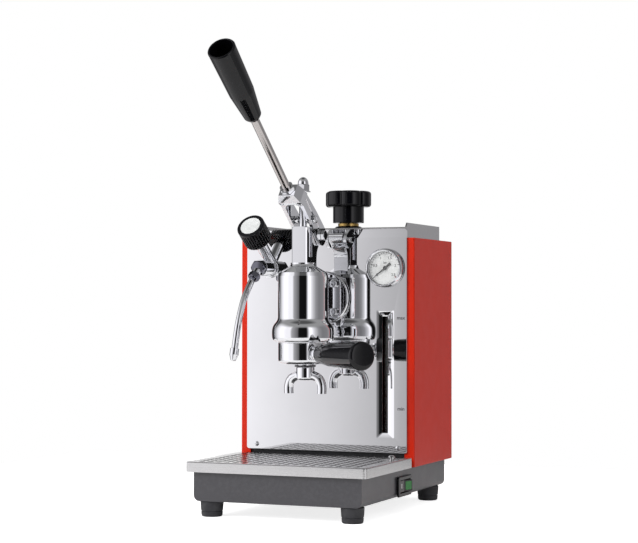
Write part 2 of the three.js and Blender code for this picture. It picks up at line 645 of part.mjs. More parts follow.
/** Sight glass tube between the arms. */
function sightTube() {
  const shape = ring([
    [sight.bore, sight.bottom], [sight.radius, sight.bottom], [sight.radius, sight.top], [sight.bore, sight.top],
  ], facets.small);
  return piece('sight_tube', shape.translate(sightX, sight.y, 0), finish.glass);
}

/** Pressure gauge: case with bezel, dial, pointer and glass. */
function pressureGauge() {
  const { radius, front, lip, bore, body, back, floor } = gauge;
  const glassFront = front + gauge.lipDepth + fit;
  const shell = turnedY([
    [0, back], [body, back], [body, flangeBack], [radius, flangeBack], [radius, front + gauge.lipDepth],
    [radius - gauge.lipDepth, front], [lip, front], [lip, front + gauge.lipDepth],
    [bore, front + gauge.lipDepth], [bore, floor], [0, floor],
  ]);
  const disc = (start, thickness) => turnedY([
    [0, start], [bore - fit, start], [bore - fit, start + thickness], [0, start + thickness],
  ]);
  const hubBack = gauge.dialFront - fit;
  const hubFront = hubBack - gauge.hubHeight;
  const hub = turnedY([[0, hubFront], [gauge.hub, hubFront], [gauge.hub, hubBack], [0, hubBack]], facets.tiny);
  const blade = prismY(outline([
    [-gauge.pointerRoot, -gauge.tail], [gauge.pointerRoot, -gauge.tail], [gauge.pointerTip, gauge.pointer],
    [-gauge.pointerTip, gauge.pointer],
  ]), [hubBack - gauge.blade * 2, hubBack - gauge.blade]);
  const needle = piece('gauge_needle', join(hub, blade), finish.blackPlastic);
  needle.rotation.y = gauge.angle;
  const made = assembly('pressure_gauge',
    piece('gauge_case', shell, finish.chrome),
    piece('gauge_dial', disc(gauge.dialFront, gauge.dial), finish.whitePlastic),
    needle,
    piece('gauge_glass', disc(glassFront, gauge.glass), finish.glass));
  made.position.set(gauge.x, 0, gauge.z);
  return made;
}

// Group and lever work

/** The four places of the flange screws, as [x, z]. */
function flangeScrewPlaces() {
  const { screwX, screwZ, z } = flange;
  return [-screwX, screwX].flatMap((x) => [[x, z - screwZ], [x, z + screwZ]]);
}

/** Group cylinder with its bayonet ring, rear web and mounting flange. */
function groupBody() {
  const { radius, bore, top, ringBottom, ringTop, ringCorner, flareTop, mouth, groove, y } = group;
  const flare = arc([group.ring, flareTop], [group.ring - radius, flareTop - ringTop], -Math.PI / 2, -Math.PI);
  const barrel = ring([
    [mouth, ringBottom], ...arc([group.ring - ringCorner, ringBottom + ringCorner], [ringCorner, ringCorner],
      -Math.PI / 2, 0),
    ...flare, [radius, top], [bore, top], [bore, group.seatTop], [mouth, group.seatTop],
    [mouth, group.grooveTop], [groove, group.grooveTop], [groove, group.grooveBottom],
    [mouth, group.grooveBottom],
  ], facets.fine).translate(0, y, 0);
  const flangeFront = flangeBack - flange.thickness;
  const web = prismY(
    roundedRectangle([-flange.webHalf, flange.webHalf], [flange.webBottom, flange.webTop], flange.webCorner),
    [y + bore + reach, flangeFront + reach],
  );
  const disc = bar([0, flangeFront, flange.z], [0, flangeBack, flange.z], flange.radius, facets.round);
  const spigot = bar([0, flangeFront, flange.z], [0, flangeBack + flange.spigotLength, flange.z], flange.spigot);
  const lugAngle = filter.angle + Math.PI / 2 - filter.turn;
  const entries = [0, Math.PI].map((half) => box([-group.notchHalf, group.notchHalf], [-groove, -bore],
    [ringBottom - reach, group.grooveBottom + reach]).rotateZ(lugAngle + half).translate(0, y, 0));
  const arrow = prismY(outline([
    [-group.arrowHalf, ringBottom - reach], [group.arrowHalf, ringBottom - reach], [0, group.arrowTop],
  ]), [-group.ring - reach, -group.arrowRadius]).rotateZ(group.arrowAngle).translate(0, y, 0);
  const screwHoles = flangeScrewPlaces().map(([x, z]) => hole([x, flangeFront - reach, z],
    [x, flangeBack + reach, z], flange.shank + fit, facets.tiny));
  const shape = cut(join(barrel, web, disc, spigot), ...entries, arrow, ...screwHoles);
  return piece('group_body', shape, finish.chrome);
}

/** Socket-head screw through the group's flange. */
function flangeScrew(name, x, z) {
  const seat = flangeBack - flange.thickness - fit;
  const body = turnedY([
    [0, -flange.headHeight], [flange.head, -flange.headHeight], [flange.head, 0], [flange.shank, 0],
    [flange.shank, flange.shankLength], [0, flange.shankLength],
  ], facets.tiny);
  const socket = prismY(ngon(flange.socket, facets.hex), [-flange.headHeight - reach,
    flange.socketDepth - flange.headHeight]);
  const screw = piece(name, cut(body, socket), finish.chrome);
  screw.position.set(x, seat, z);
  return screw;
}

/** Screwed head of the group: the slotted guide neck for the piston rod and the fulcrum post behind it. */
function guideHead() {
  const { spigot, rim, radius, coneTop, top, edge, rodBore, flatHalf, flatBottom } = guide;
  const bottom = group.top + fit;
  const neck = ring([
    [rodBore, bottom - guide.spigotDepth], [spigot, bottom - guide.spigotDepth], [spigot, bottom],
    [group.radius, bottom], [group.radius, bottom + rim],
    ...arc([group.radius, coneTop], [group.radius - radius, coneTop - bottom - rim], -Math.PI / 2, -Math.PI),
    [radius, top - edge], [radius - edge, top], [rodBore, top],
  ], facets.fine);
  const flats = [-1, 1].map((side) => box(
    side < 0 ? [-radius - reach, -flatHalf] : [flatHalf, radius + reach], [-radius, radius],
    [flatBottom, top + reach],
  ));
  const slot = box([-radius, radius], [-guide.slotHalf, guide.slotHalf], [guide.slotBottom, top + reach]);
  const body = cut(neck, ...flats, slot).translate([0, group.y, 0]);
  const side = new THREE.Shape();
  side.moveTo(post.front, bottom);
  side.lineTo(post.foot, bottom);
  side.quadraticCurveTo(post.back, bottom, post.back, post.waist);
  side.lineTo(post.back, top - post.shoulder);
  side.quadraticCurveTo(post.back, top, post.back - post.shoulder, top);
  side.lineTo(post.front, top);
  const slotForPin = prismX(stadium([fulcrum.slotFront, fulcrum.slotBack], fulcrum.slotZ, fulcrum.slotHalf),
    [-post.half - reach, post.half + reach], facets.tiny);
  const upright = prismX(side, [-post.half, post.half]);
  return piece('guide_head', cut(join(body, upright), slotForPin), finish.chrome);
}

/** Piston and rod in one, with two seal grooves and the cross hole for the lever's pin. */
function pistonRod() {
  const { radius, bottom, height, rod, shoulder, top, grooveRoot, grooveHeight, edge } = piston;
  const grooves = [piston.lowerGroove, piston.upperGroove].flatMap((offset) => [
    [radius, bottom + offset], [grooveRoot, bottom + offset], [grooveRoot, bottom + offset + grooveHeight],
    [radius, bottom + offset + grooveHeight],
  ]);
  const body = turned([
    [0, bottom], [radius - edge, bottom], [radius, bottom + edge], ...grooves, [radius, bottom + height],
    [rod, bottom + height], [rod, shoulder], [piston.stud, shoulder], [piston.stud, top], [0, top],
  ], facets.fine).translate(0, group.y, 0);
  const cross = hole([-rod - reach, group.y, pivot.z], [rod + reach, group.y, pivot.z], pin.radius + fit,
    facets.tiny);
  return piece('piston_rod', cut(body, cross), finish.chrome);
}

/** One piston seal. */
function pistonSeal(name, offset) {
  const [low, high] = [piston.bottom + offset + fit, piston.bottom + offset + piston.grooveHeight - fit];
  const section = [[seal.inner, low], [seal.outer, low], [seal.outer, high], [seal.inner, high]];
  const shape = ring(section, facets.fine);
  return piece(name, shape.translate(0, group.y, 0), finish.seal);
}

/** Gasket and shower screen under the cylinder. */
function groupTrim() {
  const gasketTop = group.seatTop - fit;
  const gasketBottom = gasketTop - gasket.height;
  const gasketShape = ring([
    [gasket.inner, gasketBottom], [gasket.outer, gasketBottom], [gasket.outer, gasketTop],
    [gasket.inner, gasketTop],
  ], facets.fine);
  const screenTop = group.seatTop + screen.height;
  const screenShape = bar([0, 0, group.seatTop], [0, 0, screenTop], screen.radius, facets.fine);
  return [
    piece('group_gasket', gasketShape.translate(0, group.y, 0), finish.seal),
    piece('shower_screen', screenShape.translate(0, group.y, 0), finish.steel),
  ];
}

/** Acorn nut on the rod's top. */
function rodNut() {
  const bottom = piston.shoulder + fit;
  const bore = piston.stud + fit;
  const domeBottom = bottom + acorn.hexHeight;
  const hexPart = prismZ(ngon(acorn.hex, facets.hex), [bottom, domeBottom]);
  const washer = bar([0, 0, bottom], [0, 0, bottom + acorn.washerHeight], acorn.washer);
  const dome = turned([
    [0, bottom + acorn.washerHeight], [acorn.dome, bottom + acorn.washerHeight],
    ...arc([0, domeBottom], [acorn.dome, acorn.top - domeBottom], 0, Math.PI / 2),
  ], facets.small);
  const thread = hole([0, 0, bottom - reach], [0, 0, piston.top + fit], bore, facets.round);
  return piece('rod_nut', cut(join(hexPart, washer, dome), thread).translate([0, group.y, 0]), finish.chrome);
}

/** Cross pin that carries the fork on the rod, and the bushes that run in the neck's slot. */
function crossPin() {
  const seat = fork.outer + fit;
  const shape = join(
    bar([-seat, 0, 0], [seat, 0, 0], pin.radius, facets.tiny),
    ...[-1, 1].map((side) => bar([side * seat, 0, 0], [side * (seat + pin.headLength), 0, 0], pin.head)),
  );
  const bushes = [['pin_bush_left', -1], ['pin_bush_right', 1]].map(([name, side]) => {
    const [near, far] = [piston.rod + fit, fork.inner - fit];
    const sleeve = cut(
      bar([side * near, 0, 0], [side * far, 0, 0], pin.bush),
      hole([side * (near - reach), 0, 0], [side * (far + reach), 0, 0], pin.radius + fit, facets.tiny),
    );
    return piece(name, sleeve, finish.chrome);
  });
  const made = assembly('cross_pin', piece('crosshead_pin', shape, finish.chrome), bushes);
  made.position.set(0, group.y, pivot.z);
  return made;
}

/**
 * Lever fork: two arms that straddle the guide neck and close in a faceted hub. The fork is drawn with the
 * lever along -Y. u runs along the lever from the cross pin, n is square to it.
 */
function leverFork() {
  const { inner, outer, archCentre, hubEnd, hubShoulder, hubHalf, axisN } = fork;
  const [tailY, farTail] = [-fulcrum.u, -fulcrum.u + fork.tailRadius + reach];
  const side = new THREE.Shape();
  side.moveTo(-hubEnd, fork.noseTop);
  side.lineTo(-hubEnd, fork.noseBottom);
  side.lineTo(-hubShoulder, fork.noseBottom);
  side.lineTo(-fork.kneeU, fork.kneeBottom);
  side.lineTo(0, fork.kneeBottom);
  side.absarc(tailY, fulcrum.n, fork.tailRadius, -Math.PI / 2, Math.PI / 2);
  side.lineTo(0, fork.pivotTop);
  side.lineTo(-fork.kneeU, fork.kneeTop);
  const plan = new THREE.Shape();
  plan.moveTo(-outer, farTail);
  plan.lineTo(-outer, -hubShoulder);
  plan.lineTo(-hubHalf, -hubEnd);
  plan.lineTo(hubHalf, -hubEnd);
  plan.lineTo(outer, -hubShoulder);
  plan.lineTo(outer, farTail);
  plan.lineTo(inner, farTail);
  plan.lineTo(inner, -archCentre);
  plan.absarc(0, -archCentre, inner, 0, -Math.PI, true);
  plan.lineTo(-inner, farTail);
  const body = common(
    prismX(side, [-outer, outer], facets.tiny),
    prismZ(plan, [-hubEnd, hubEnd], facets.tiny),
  );
  const pocket = stadium([-fork.pocketTo, -fork.pocketFrom], 0, fork.pocketHalf);
  const pockets = [-1, 1].map((face) => {
    const edges = [face * (outer - fork.pocketDepth), face * (outer + reach)].sort((a, b) => a - b);
    return prismX(pocket, edges);
  });
  const through = (y, z, radius) => hole([-outer - reach, y, z], [outer + reach, y, z], radius, facets.tiny);
  const rodBore = hole([0, -archCentre, axisN], [0, -hubEnd - reach, axisN], lever.radius + fit, facets.small);
  const shape = cut(body, ...pockets, through(0, 0, pin.radius + fit),
    through(tailY, fulcrum.n, fulcrum.radius + fit), rodBore);
  return piece('lever_fork', shape, finish.chrome);
}

/** Lock nut, lever rod and hollow black grip, in the fork's own frame. */
function leverArm() {
  const nutStart = fork.hubEnd + fit;
  const nut = cut(
    prismY(ngon(lockNut.radius, facets.hex), [-nutStart - lockNut.length, -nutStart]),
    hole([0, -nutStart + reach, 0], [0, -nutStart - lockNut.length - reach, 0], lever.radius + fit),
  );
  const rod = bar([0, -lever.start, 0], [0, -lever.end, 0], lever.radius);
  const { start, waist, end, nose, throat, waistRadius, radius, socket, lip } = grip;
  const bore = lever.radius + fit;
  const rodSeat = lever.end + fit;
  const sleeve = turnedY([
    [0, -rodSeat], [bore, -rodSeat], [bore, -start],
    ...arc([nose, -start - grip.throatLength], [throat - nose, grip.throatLength], Math.PI / 2, 0),
    [waistRadius, -waist], [radius, -end + lip], [radius - lip, -end], [socket, -end],
    [socket - lip, -rodSeat - grip.web], [0, -rodSeat - grip.web],
  ]);
  return [
    piece('lever_lock_nut', nut, finish.blackSteel),
    piece('lever_rod', rod, finish.chrome),
    piece('lever_grip', sleeve, finish.blackPlastic),
  ].map((mesh3d) => {
    mesh3d.position.z = fork.axisN;
    return mesh3d;
  });
}

/** Fulcrum bolt through the fork's tail and the post's slot, with a hexagon at each end. */
function fulcrumBolt() {
  const seat = fork.outer + fit;
  const end = seat + fulcrum.headLength;
  const head = ngon(fulcrum.head, facets.hex);
  const bolt = join(bar([-end, 0, 0], [end, 0, 0], fulcrum.radius), prismX(head, [-end, -seat]),
    prismX(head, [seat, end]));
  const made = piece('fulcrum_bolt', bolt, finish.chrome);
  made.position.set(0, -fulcrum.u, fulcrum.n);
  return made;
}

/** The whole lever, turned about the cross pin. */
function leverAssembly() {
  const made = assembly('lever', leverFork(), leverArm(), fulcrumBolt());
  made.position.set(0, group.y, pivot.z);
  made.rotation.x = -pivot.angle;
  return made;
}

// Portafilter

/** Portafilter body with bayonet lugs, outlet boss and the stud for the handle. The handle points to -Y. */
function filterBody() {
  const { upper, rim, radius, shoulder, step, bottom, corner, bore, floor, outlet, boss, handleZ } = filter;
  const [bossX, bossY] = spoutShift();
  const cup = turned([
    [0, bottom], ...arc([radius - corner, bottom + corner], [corner, corner], -Math.PI / 2, 0),
    [radius, shoulder - step], [upper, shoulder], [upper, rim], [bore, rim],
    [bore, floor + corner], [bore - corner, floor], [0, floor],
  ], facets.fine);
  const outletBoss = bar([bossX, bossY, filter.bossBottom], [bossX, bossY, bottom + step], boss,
    facets.fine);
  const lugRing = ring([
    [bore + step, filter.lugBottom], [filter.lugReach, filter.lugBottom], [filter.lugReach, filter.lugTop],
    [bore + step, filter.lugTop],
  ], facets.fine);
  const lugs = common(lugRing, box([-filter.lugReach, filter.lugReach], [-filter.lugHalf, filter.lugHalf],
    [filter.lugBottom, filter.lugTop]));
  const socket = bar([0, -bore - step, handleZ], [0, -filter.socketEnd, handleZ], filter.socket);
  const handleStud = bar([0, -filter.socketEnd + step, handleZ], [0, -filter.studEnd, handleZ], filter.stud);
  const drain = hole([bossX, bossY, filter.bossBottom - reach], [bossX, bossY, floor + reach], outlet);
  return piece('filter_body', cut(join(cup, outletBoss, lugs, socket, handleStud), drain), finish.chrome);
}

/** The spout's offset from the filter axis, in the filter's turned frame. */
function spoutShift() {
  return [spout.shiftX * Math.cos(filter.angle), -spout.shiftX * Math.sin(filter.angle)];
}

/** Pressed filter basket that hangs by its rim. */
function filterBasket() {
  const { radius, wall, bottom, rim, rimThickness } = basket;
  const seat = filter.rim + fit;
  const shape = turned([
    [0, bottom], [radius - wall, bottom], [radius, bottom + wall], [radius, seat], [rim, seat],
    [rim, seat + rimThickness], [radius - wall, seat + rimThickness], [radius - wall, bottom + wall],
    [0, bottom + wall],
  ], facets.fine);
  return piece('filter_basket', shape, finish.steel);
}

/** Chrome ferrule and flared black handle. */
function filterHandle() {
  const bore = filter.stud + fit;
  const ferruleStart = filter.socketEnd + fit;
  const ferruleEnd = ferruleStart + ferrule.length;
  const ferruleShape = turnedY([
    [bore, -ferruleStart], [ferrule.radius - ferrule.edge, -ferruleStart],
    [ferrule.radius, -ferruleStart - ferrule.edge], [ferrule.radius, -ferruleEnd + ferrule.edge],
    [ferrule.radius - ferrule.edge, -ferruleEnd], [bore, -ferruleEnd], [bore, -ferruleStart],
  ]);
  const { start, root, neckS, neck, end, radius, crown } = handle;
  const handleShape = turnedY([
    [0, -handle.bore], [bore, -handle.bore], [bore, -start], [root, -start], [neck, -neckS],
    [radius, -end + crown * 2], ...arc([0, -end + crown], [radius - crown / 2, -crown], 0, Math.PI / 2),
  ]);
  return [
    piece('handle_ferrule', ferruleShape, finish.chrome),
    piece('filter_handle', handleShape, finish.blackPlastic),
  ].map((mesh3d) => {
    mesh3d.position.z = filter.handleZ;
    return mesh3d;
  });
}

/** Dark collar and twin spout, lined up across the machine. */
function filterSpout() {
  const { collarRadius, collarHeight, neck, neckBottom, edge, throat, tube, bore, spread, tip, elbowZ } = spout;
  const neckTop = filter.bossBottom - fit;
  const collarBore = filter.boss + fit;
  const collarShape = ring([
    [collarBore, filter.bossBottom], [collarRadius, filter.bossBottom],
    [collarRadius, filter.bossBottom + collarHeight], [collarBore, filter.bossBottom + collarHeight],
  ], facets.fine);
  const body = turned([
    [0, neckBottom], [neck - edge * 2, neckBottom], [neck, neckBottom + edge * 2], [neck, neckTop],
    [throat, neckTop], [throat, spout.top], [0, spout.top],
  ], facets.small);
  const limbs = (radius) => [-1, 1].map((side) => sweep([
    [0, 0, elbowZ], [side * spout.elbowX, 0, elbowZ - edge / 2], [side * spout.bendX, 0, spout.bendZ],
    [side * spread, 0, spout.kneeZ], [side * spread, 0, tip], [side * spread, 0, tip - reach],
  ], radius, facets.tiny));
  const drain = bar([0, 0, elbowZ], [0, 0, spout.top + reach], spout.drain, facets.tiny);
  const side = spread + tube + reach;
  const tips = box([-side, side], [-side, side], [0, tip]);
  const shape = cut(join(body, ...limbs(tube)), ...limbs(bore), drain, tips);
  const made = assembly('spout', piece('spout_collar', collarShape, finish.seal),
    piece('twin_spout', shape, finish.chrome));
  made.position.set(...spoutShift(), 0);
  made.rotation.z = -filter.angle;
  return made;
}

/** The whole portafilter, turned to where its bayonet locks. */
function portafilter() {
  const made = assembly('portafilter', filterBody(), filterBasket(), filterHandle(), filterSpout());
  made.position.set(0, group.y, 0);
  made.rotation.z = filter.angle;
  return made;
}

// Steam valve

/** Valve body: barrel, rose, threaded tail, inclined bonnet and pipe boss, with X = 0 on the barrel's axis. */
function steamValve() {
  const { z, radius, front, dome, rose, roseThickness, tail, tailBack, bonnet } = valve;
  const barrel = turnedY([
    [0, tailBack], [tail, tailBack], [tail, flangeBack], [rose, flangeBack], [rose, flangeBack - roseThickness],
    [radius, flangeBack - roseThickness], [radius, front + dome],
    ...arc([0, front + dome], [radius, -dome], 0, Math.PI / 2),
  ], facets.small).translate(0, 0, z);
  const stemPoint = (distance) => along(steamKnob.foot, steamKnob.axis, distance);
  const bonnetBar = cut(
    bar(stemPoint(valve.bonnetStart), stemPoint(valve.bonnetEnd), bonnet),
    box([-rose - reach, rose + reach], [flangeBack, housing.back], [z, housing.top]),
  );
  const stemBore = hole(stemPoint(valve.bonnetEnd + reach), stemPoint(valve.bonnetEnd - valve.bonnetBore),
    steamKnob.stem + fit, facets.tiny);
  const boss = bar(pipe.start, along(pipe.start, pipe.axis, pipe.bossEnd), pipe.boss);
  return piece('steam_valve', cut(join(barrel, bonnetBar, boss), stemBore), finish.chrome);
}

/** Valve stem, fluted black knob and its light cap, made along Z and aimed along the stem. */
function steamKnobAssembly() {
  const { radius, length, flutes, flute, bevel, stem, stemBelow, stemAbove, capThickness } = steamKnob;
  const steps = flutes * steamKnob.fluteSteps;
  const fluted = outline(Array.from({ length: steps }, (_, i) => {
    const angle = Math.PI * 2 * i / steps;
    const r = radius - bevel - flute * (1 - Math.cos(flutes * angle));
    return [r * Math.cos(angle), r * Math.sin(angle)];
  }));
  const blank = new THREE.ExtrudeGeometry(fluted, {
    depth: length - bevel * 2, bevelThickness: bevel, bevelSize: bevel, bevelSegments: 1,
  }).translate(0, 0, bevel);
  const knobShape = cut(blank,
    hole([0, 0, -reach], [0, 0, stemAbove + fit], stem + fit, facets.tiny),
    hole([0, 0, length - capThickness - fit], [0, 0, length + reach], steamKnob.cap + fit,
      facets.round));
  const capShape = bar([0, 0, length - capThickness], [0, 0, length], steamKnob.cap, facets.round);
  const made = assembly('steam_control',
    piece('steam_stem', bar([0, 0, -stemBelow], [0, 0, stemAbove], stem, facets.tiny), finish.chrome),
    piece('steam_knob', knobShape, finish.blackPlastic),
    piece('steam_knob_cap', capShape, finish.whitePlastic));
  return aim(made, steamKnob.foot, steamKnob.axis);
}

/** Nut, bent pipe and nozzle of the steam wand. */
function steamPipe() {
  const nutStart = pipe.bossEnd + fit;
  const nut = cut(
    prismZ(ngon(pipe.nut, facets.hex), [nutStart, nutStart + pipe.nutLength]),
    hole([0, 0, nutStart - reach], [0, 0, nutStart + pipe.nutLength + reach], pipe.radius + fit),
  );
  const last = pipeRoute[pipeRoute.length - 1];
  const tipAxis = nozzle.tip.map((value, i) => value - last[i]);
  const straight = [pipe.first, (pipe.first + pipe.straight) / 2, pipe.straight];
  const route = [...straight.map((distance) => along(pipe.start, pipe.axis, distance)), ...pipeRoute,
    along(nozzle.tip, tipAxis, -nozzle.pipeEnd)];
  const { length, radius, skirt, nose } = nozzle;
  const bore = pipe.radius + fit;
  const tipShape = turned([
    [0, -nozzle.pipeEnd + fit], [bore, -nozzle.pipeEnd + fit], [bore, -length], [radius, -length],
    [radius, -skirt], [nose, 0], [0, 0],
  ], facets.small);
  return [
    aim(assembly('pipe_joint', piece('pipe_nut', nut, finish.chrome)), pipe.start, pipe.axis),
    piece('steam_pipe', sweep(route, pipe.radius, pipe.sweepSteps), finish.chrome),
    aim(assembly('wand_tip', piece('steam_nozzle', tipShape, finish.chrome)), nozzle.tip, tipAxis),
  ];
}

/** Valve, knob and pipe together, at the valve's place on the plate. */
function steamFittings() {
  const made = assembly('steam_fittings', steamValve(), steamKnobAssembly(), steamPipe());
  made.position.x = valve.x;
  return made;
}

// Tray, switch and cord gland

/** Drip pan that hangs in the base by its flange. */
function trayPan() {
  const { panHalf, panFront, panBack, panBottom, sheet, flangeHalf, flangeFront, flangeTop } = tray;
  const rim = tray.top - sheet - fit;
  const outer = join(
    box([-panHalf, panHalf], [panFront, panBack], [panBottom, rim]),
    box([-flangeHalf, flangeHalf], [flangeFront, panBack], [deckBottom, flangeTop]),
  );
  const inner = box([-panHalf + sheet, panHalf - sheet], [panFront + sheet, panBack - sheet],
    [panBottom + sheet, rim + reach]);
  return piece('tray_pan', cut(outer, inner), finish.blackSteel);
}

/** Staggered diamond holes over the pan, as one set of cutters. */
function lidHoles([z0, z1]) {
  const middle = (tray.front + tray.back) / 2;
  const pitchX = (tray.halfWidth - mesh.marginX) * 2 / mesh.columns;
  const pitchY = (tray.back - tray.front - mesh.marginY * 2) / mesh.rows;
  const cutters = [];
  for (let row = 0; row < mesh.rows; row += 1) {
    const shift = (row % 2 - 1 / 2) * pitchX / 2;
    for (let column = 0; column < mesh.columns; column += 1) {
      const x = (column - (mesh.columns - 1) / 2) * pitchX + shift;
      const y = middle + (row - (mesh.rows - 1) / 2) * pitchY;
      if (Math.hypot(x - stud.x, y - stud.y) < mesh.keepOut) continue;
      cutters.push(prismZ(ngon(mesh.hole, mesh.holeCorners, x, y), [z0, z1]));
    }
  }
  return mergeGeometries(cutters);
}

/** Perforated lid with a folded lip and a small lifting stud. */
function trayLid() {
  const { halfWidth, front, back, bottom, top, sheet, frontCorner } = tray;
  const rim = roundedRectangle([-halfWidth, halfWidth], [front, back], frontCorner, sheet);
  const inside = roundedRectangle([-halfWidth + sheet, halfWidth - sheet], [front + sheet, back - sheet],
    frontCorner - sheet, 0);
  const shell = cut(prismZ(rim, [bottom, top]), prismZ(inside, [bottom - reach, top - sheet]),
    lidHoles([top - sheet - reach, top + reach]));
  const knob = turned([
    [0, top - sheet], [stud.neck, top - sheet], [stud.neck, top + stud.height / 2],
    [stud.radius, top + stud.height / 2],
    ...arc([0, top + stud.height / 2], [stud.radius, stud.height / 2], 0, Math.PI / 2),
  ], facets.tiny).translate(stud.x, stud.y, 0);
  return piece('tray_lid', join(shell, knob), finish.steel);
}

/** Rocker switch in the base's right side. */
function powerSwitch() {
  const { y, z, halfLength, halfHeight, proud, frame, body, cavity, wing, wingFace, middleFace } = rocker;
  const face = base.halfWidth + fit;
  const [innerY, innerZ] = [halfLength - frame, halfHeight - frame];
  const housingShape = cut(
    join(
      box([face, face + proud], [-halfLength, halfLength], [-halfHeight, halfHeight]),
      box([face - body, face + proud], [-innerY, innerY], [-innerZ, innerZ]),
    ),
    box([face - cavity, face + proud + reach], [-innerY + fit * 2, innerY - fit * 2],
      [-innerZ + fit * 2, innerZ - fit * 2]),
  );
  const key = outline([
    [-rocker.thickness, -wing + fit], [wingFace, -wing], [middleFace, 0], [wingFace, wing],
    [-rocker.thickness, wing - fit],
  ]);
  const keyShape = prismZ(key, [-innerZ + frame / 2, innerZ - frame / 2]);
  const tipping = piece('switch_rocker', keyShape, finish.greenPlastic);
  tipping.position.x = face;
  tipping.rotation.z = -rocker.tilt;
  const made = assembly('power_switch', piece('switch_bezel', housingShape, finish.blackPlastic), tipping);
  made.position.set(0, y, z);
  return made;
}

/** Cord gland in the base's back. */
function cordGland() {
  const face = base.back + fit;
  const { radius, length, bore, taper, flangeThickness } = gland;
  const shape = turnedY([
    [bore, -base.sheet - length / 2], [radius, -base.sheet - length / 2], [radius, 0], [gland.flange, 0],
    [gland.flange, flangeThickness], [radius, flangeThickness], [radius - taper, length], [bore, length],
    [bore, -base.sheet - length / 2],
  ], facets.small);
  return piece('cord_gland', shape.translate(gland.x, face, gland.z), finish.blackPlastic);
}

// The whole machine

/** Every piece in its place, before the part is centred. */
function espressoMachine() {
  return assembly('lever_espresso_machine',
    basePan(),
    rubberFoot('foot_front_left', -foot.x, foot.frontY),
    rubberFoot('foot_front_right', foot.x, foot.frontY),
    rubberFoot('foot_back_left', -foot.x, foot.backY),
    rubberFoot('foot_back_right', foot.x, foot.backY),
    deckPlate(), redHousing(), frontPlate(),
    frontScrew('plate_screw_left', plateScrew.leftX),
    frontScrew('plate_screw_right', plateScrew.rightX),
    cupCover(), boilerBody(), heatingElement(), boilerStand(), boilerCollar(), boilerCap(), sightTube(),
    pressureGauge(), groupBody(),
    flangeScrewPlaces().map(([x, z], i) => flangeScrew(`flange_screw_${i + 1}`, x, z)),
    guideHead(), groupTrim(), pistonRod(),
    pistonSeal('piston_seal_lower', piston.lowerGroove),
    pistonSeal('piston_seal_upper', piston.upperGroove),
    rodNut(), crossPin(), leverAssembly(), portafilter(), steamFittings(),
    trayPan(), trayLid(), powerSwitch(), cordGland());
}

const group3d = espressoMachine();
const bounds = new THREE.Box3().setFromObject(group3d, true);
const centre = bounds.getCenter(new THREE.Vector3());
group3d.position.set(-centre.x, -centre.y, -bounds.min.z);
group3d.updateMatrixWorld(true);

export default group3d;
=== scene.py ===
"""Look of a small lever espresso machine: detailed pieces, finishes, studio and camera.

Sizes are millimetres in the machine's own axes: X right, Y back from the front of the housing's side
strips, Z up from the floor. A Datum turns them into metres in the row frame.
"""

import logging
import math
from abc import ABC, abstractmethod
from dataclasses import dataclass
from enum import Enum
from typing import Iterable, Sequence

import bmesh
import bpy
from mathutils import Matrix, Vector


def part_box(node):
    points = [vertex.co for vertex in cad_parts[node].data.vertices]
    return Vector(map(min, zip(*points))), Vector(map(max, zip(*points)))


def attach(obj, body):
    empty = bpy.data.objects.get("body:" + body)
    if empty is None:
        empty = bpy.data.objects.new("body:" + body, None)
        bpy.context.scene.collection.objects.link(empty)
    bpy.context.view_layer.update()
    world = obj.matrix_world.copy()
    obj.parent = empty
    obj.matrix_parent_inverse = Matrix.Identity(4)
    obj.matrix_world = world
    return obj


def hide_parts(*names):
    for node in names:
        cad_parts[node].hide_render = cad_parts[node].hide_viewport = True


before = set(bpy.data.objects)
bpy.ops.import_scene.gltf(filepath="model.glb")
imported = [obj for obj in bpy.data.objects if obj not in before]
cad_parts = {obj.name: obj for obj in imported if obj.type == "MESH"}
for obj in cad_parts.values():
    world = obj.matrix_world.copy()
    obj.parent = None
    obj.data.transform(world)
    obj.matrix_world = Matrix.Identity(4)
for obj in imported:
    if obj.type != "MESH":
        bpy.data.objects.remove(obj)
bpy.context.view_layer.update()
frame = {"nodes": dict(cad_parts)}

log = logging.getLogger("espresso")

Pair = tuple[float, float]
Triple = tuple[float, float, float]
Four = tuple[float, float, float, float]
Five = tuple[float, float, float, float, float]
Colour = tuple[float, float, float]

MM = 0.001  # metres in a millimetre
ROUND = 96  # facets round a large turned piece
SMALL = 48  # facets round a small turned piece
FINE = 128  # facets round the group's cylinder and head and the portafilter's cup
FIT = 0.3  # gap between pieces that touch, mm
PAST = 1.0  # how far a cutter reaches past the face that it opens, mm
SHARP = 0.3  # radius of a corner that is sharp to the eye, mm
SENSOR = 36.0  # width of the camera's sensor, mm
REACH = 50.0  # how far the camera sees, m


# Frame and shapes


@dataclass(frozen=True)
class Datum:
    """Where the machine's own zero lies in the row frame.

    Args:
        x: Row X of the machine's middle, in metres.
        y: Row Y of the front of the housing's strips, in metres.
    """

    x: float
    y: float

    @classmethod
    def from_frame(cls) -> "Datum":
        """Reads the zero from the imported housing."""
        low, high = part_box("red_housing")
        return cls((low.x + high.x) / 2, low.y)

    def matrix(self) -> Matrix:
        """Gives the change from machine millimetres to row metres."""
        return Matrix.Translation((self.x, self.y, 0)) @ Matrix.Scale(MM, 4)


def linked(name: str, data: bpy.types.ID) -> bpy.types.Object:
    """Makes an object and puts it into the scene.

    Args:
        name: Its name.
        data: Its mesh, curve, lamp or camera.

    Returns:
        The object.
    """
    made = bpy.data.objects.new(name, data)
    bpy.context.scene.collection.objects.link(made)
    return made


def applied(holder: bpy.types.Object) -> bpy.types.Mesh:
    """Gives an object's mesh with its modifiers applied.

    Args:
        holder: The object.

    Returns:
        A new mesh.
    """
    bpy.context.view_layer.update()
    graph = bpy.context.evaluated_depsgraph_get()
    return bpy.data.meshes.new_from_object(holder.evaluated_get(graph))


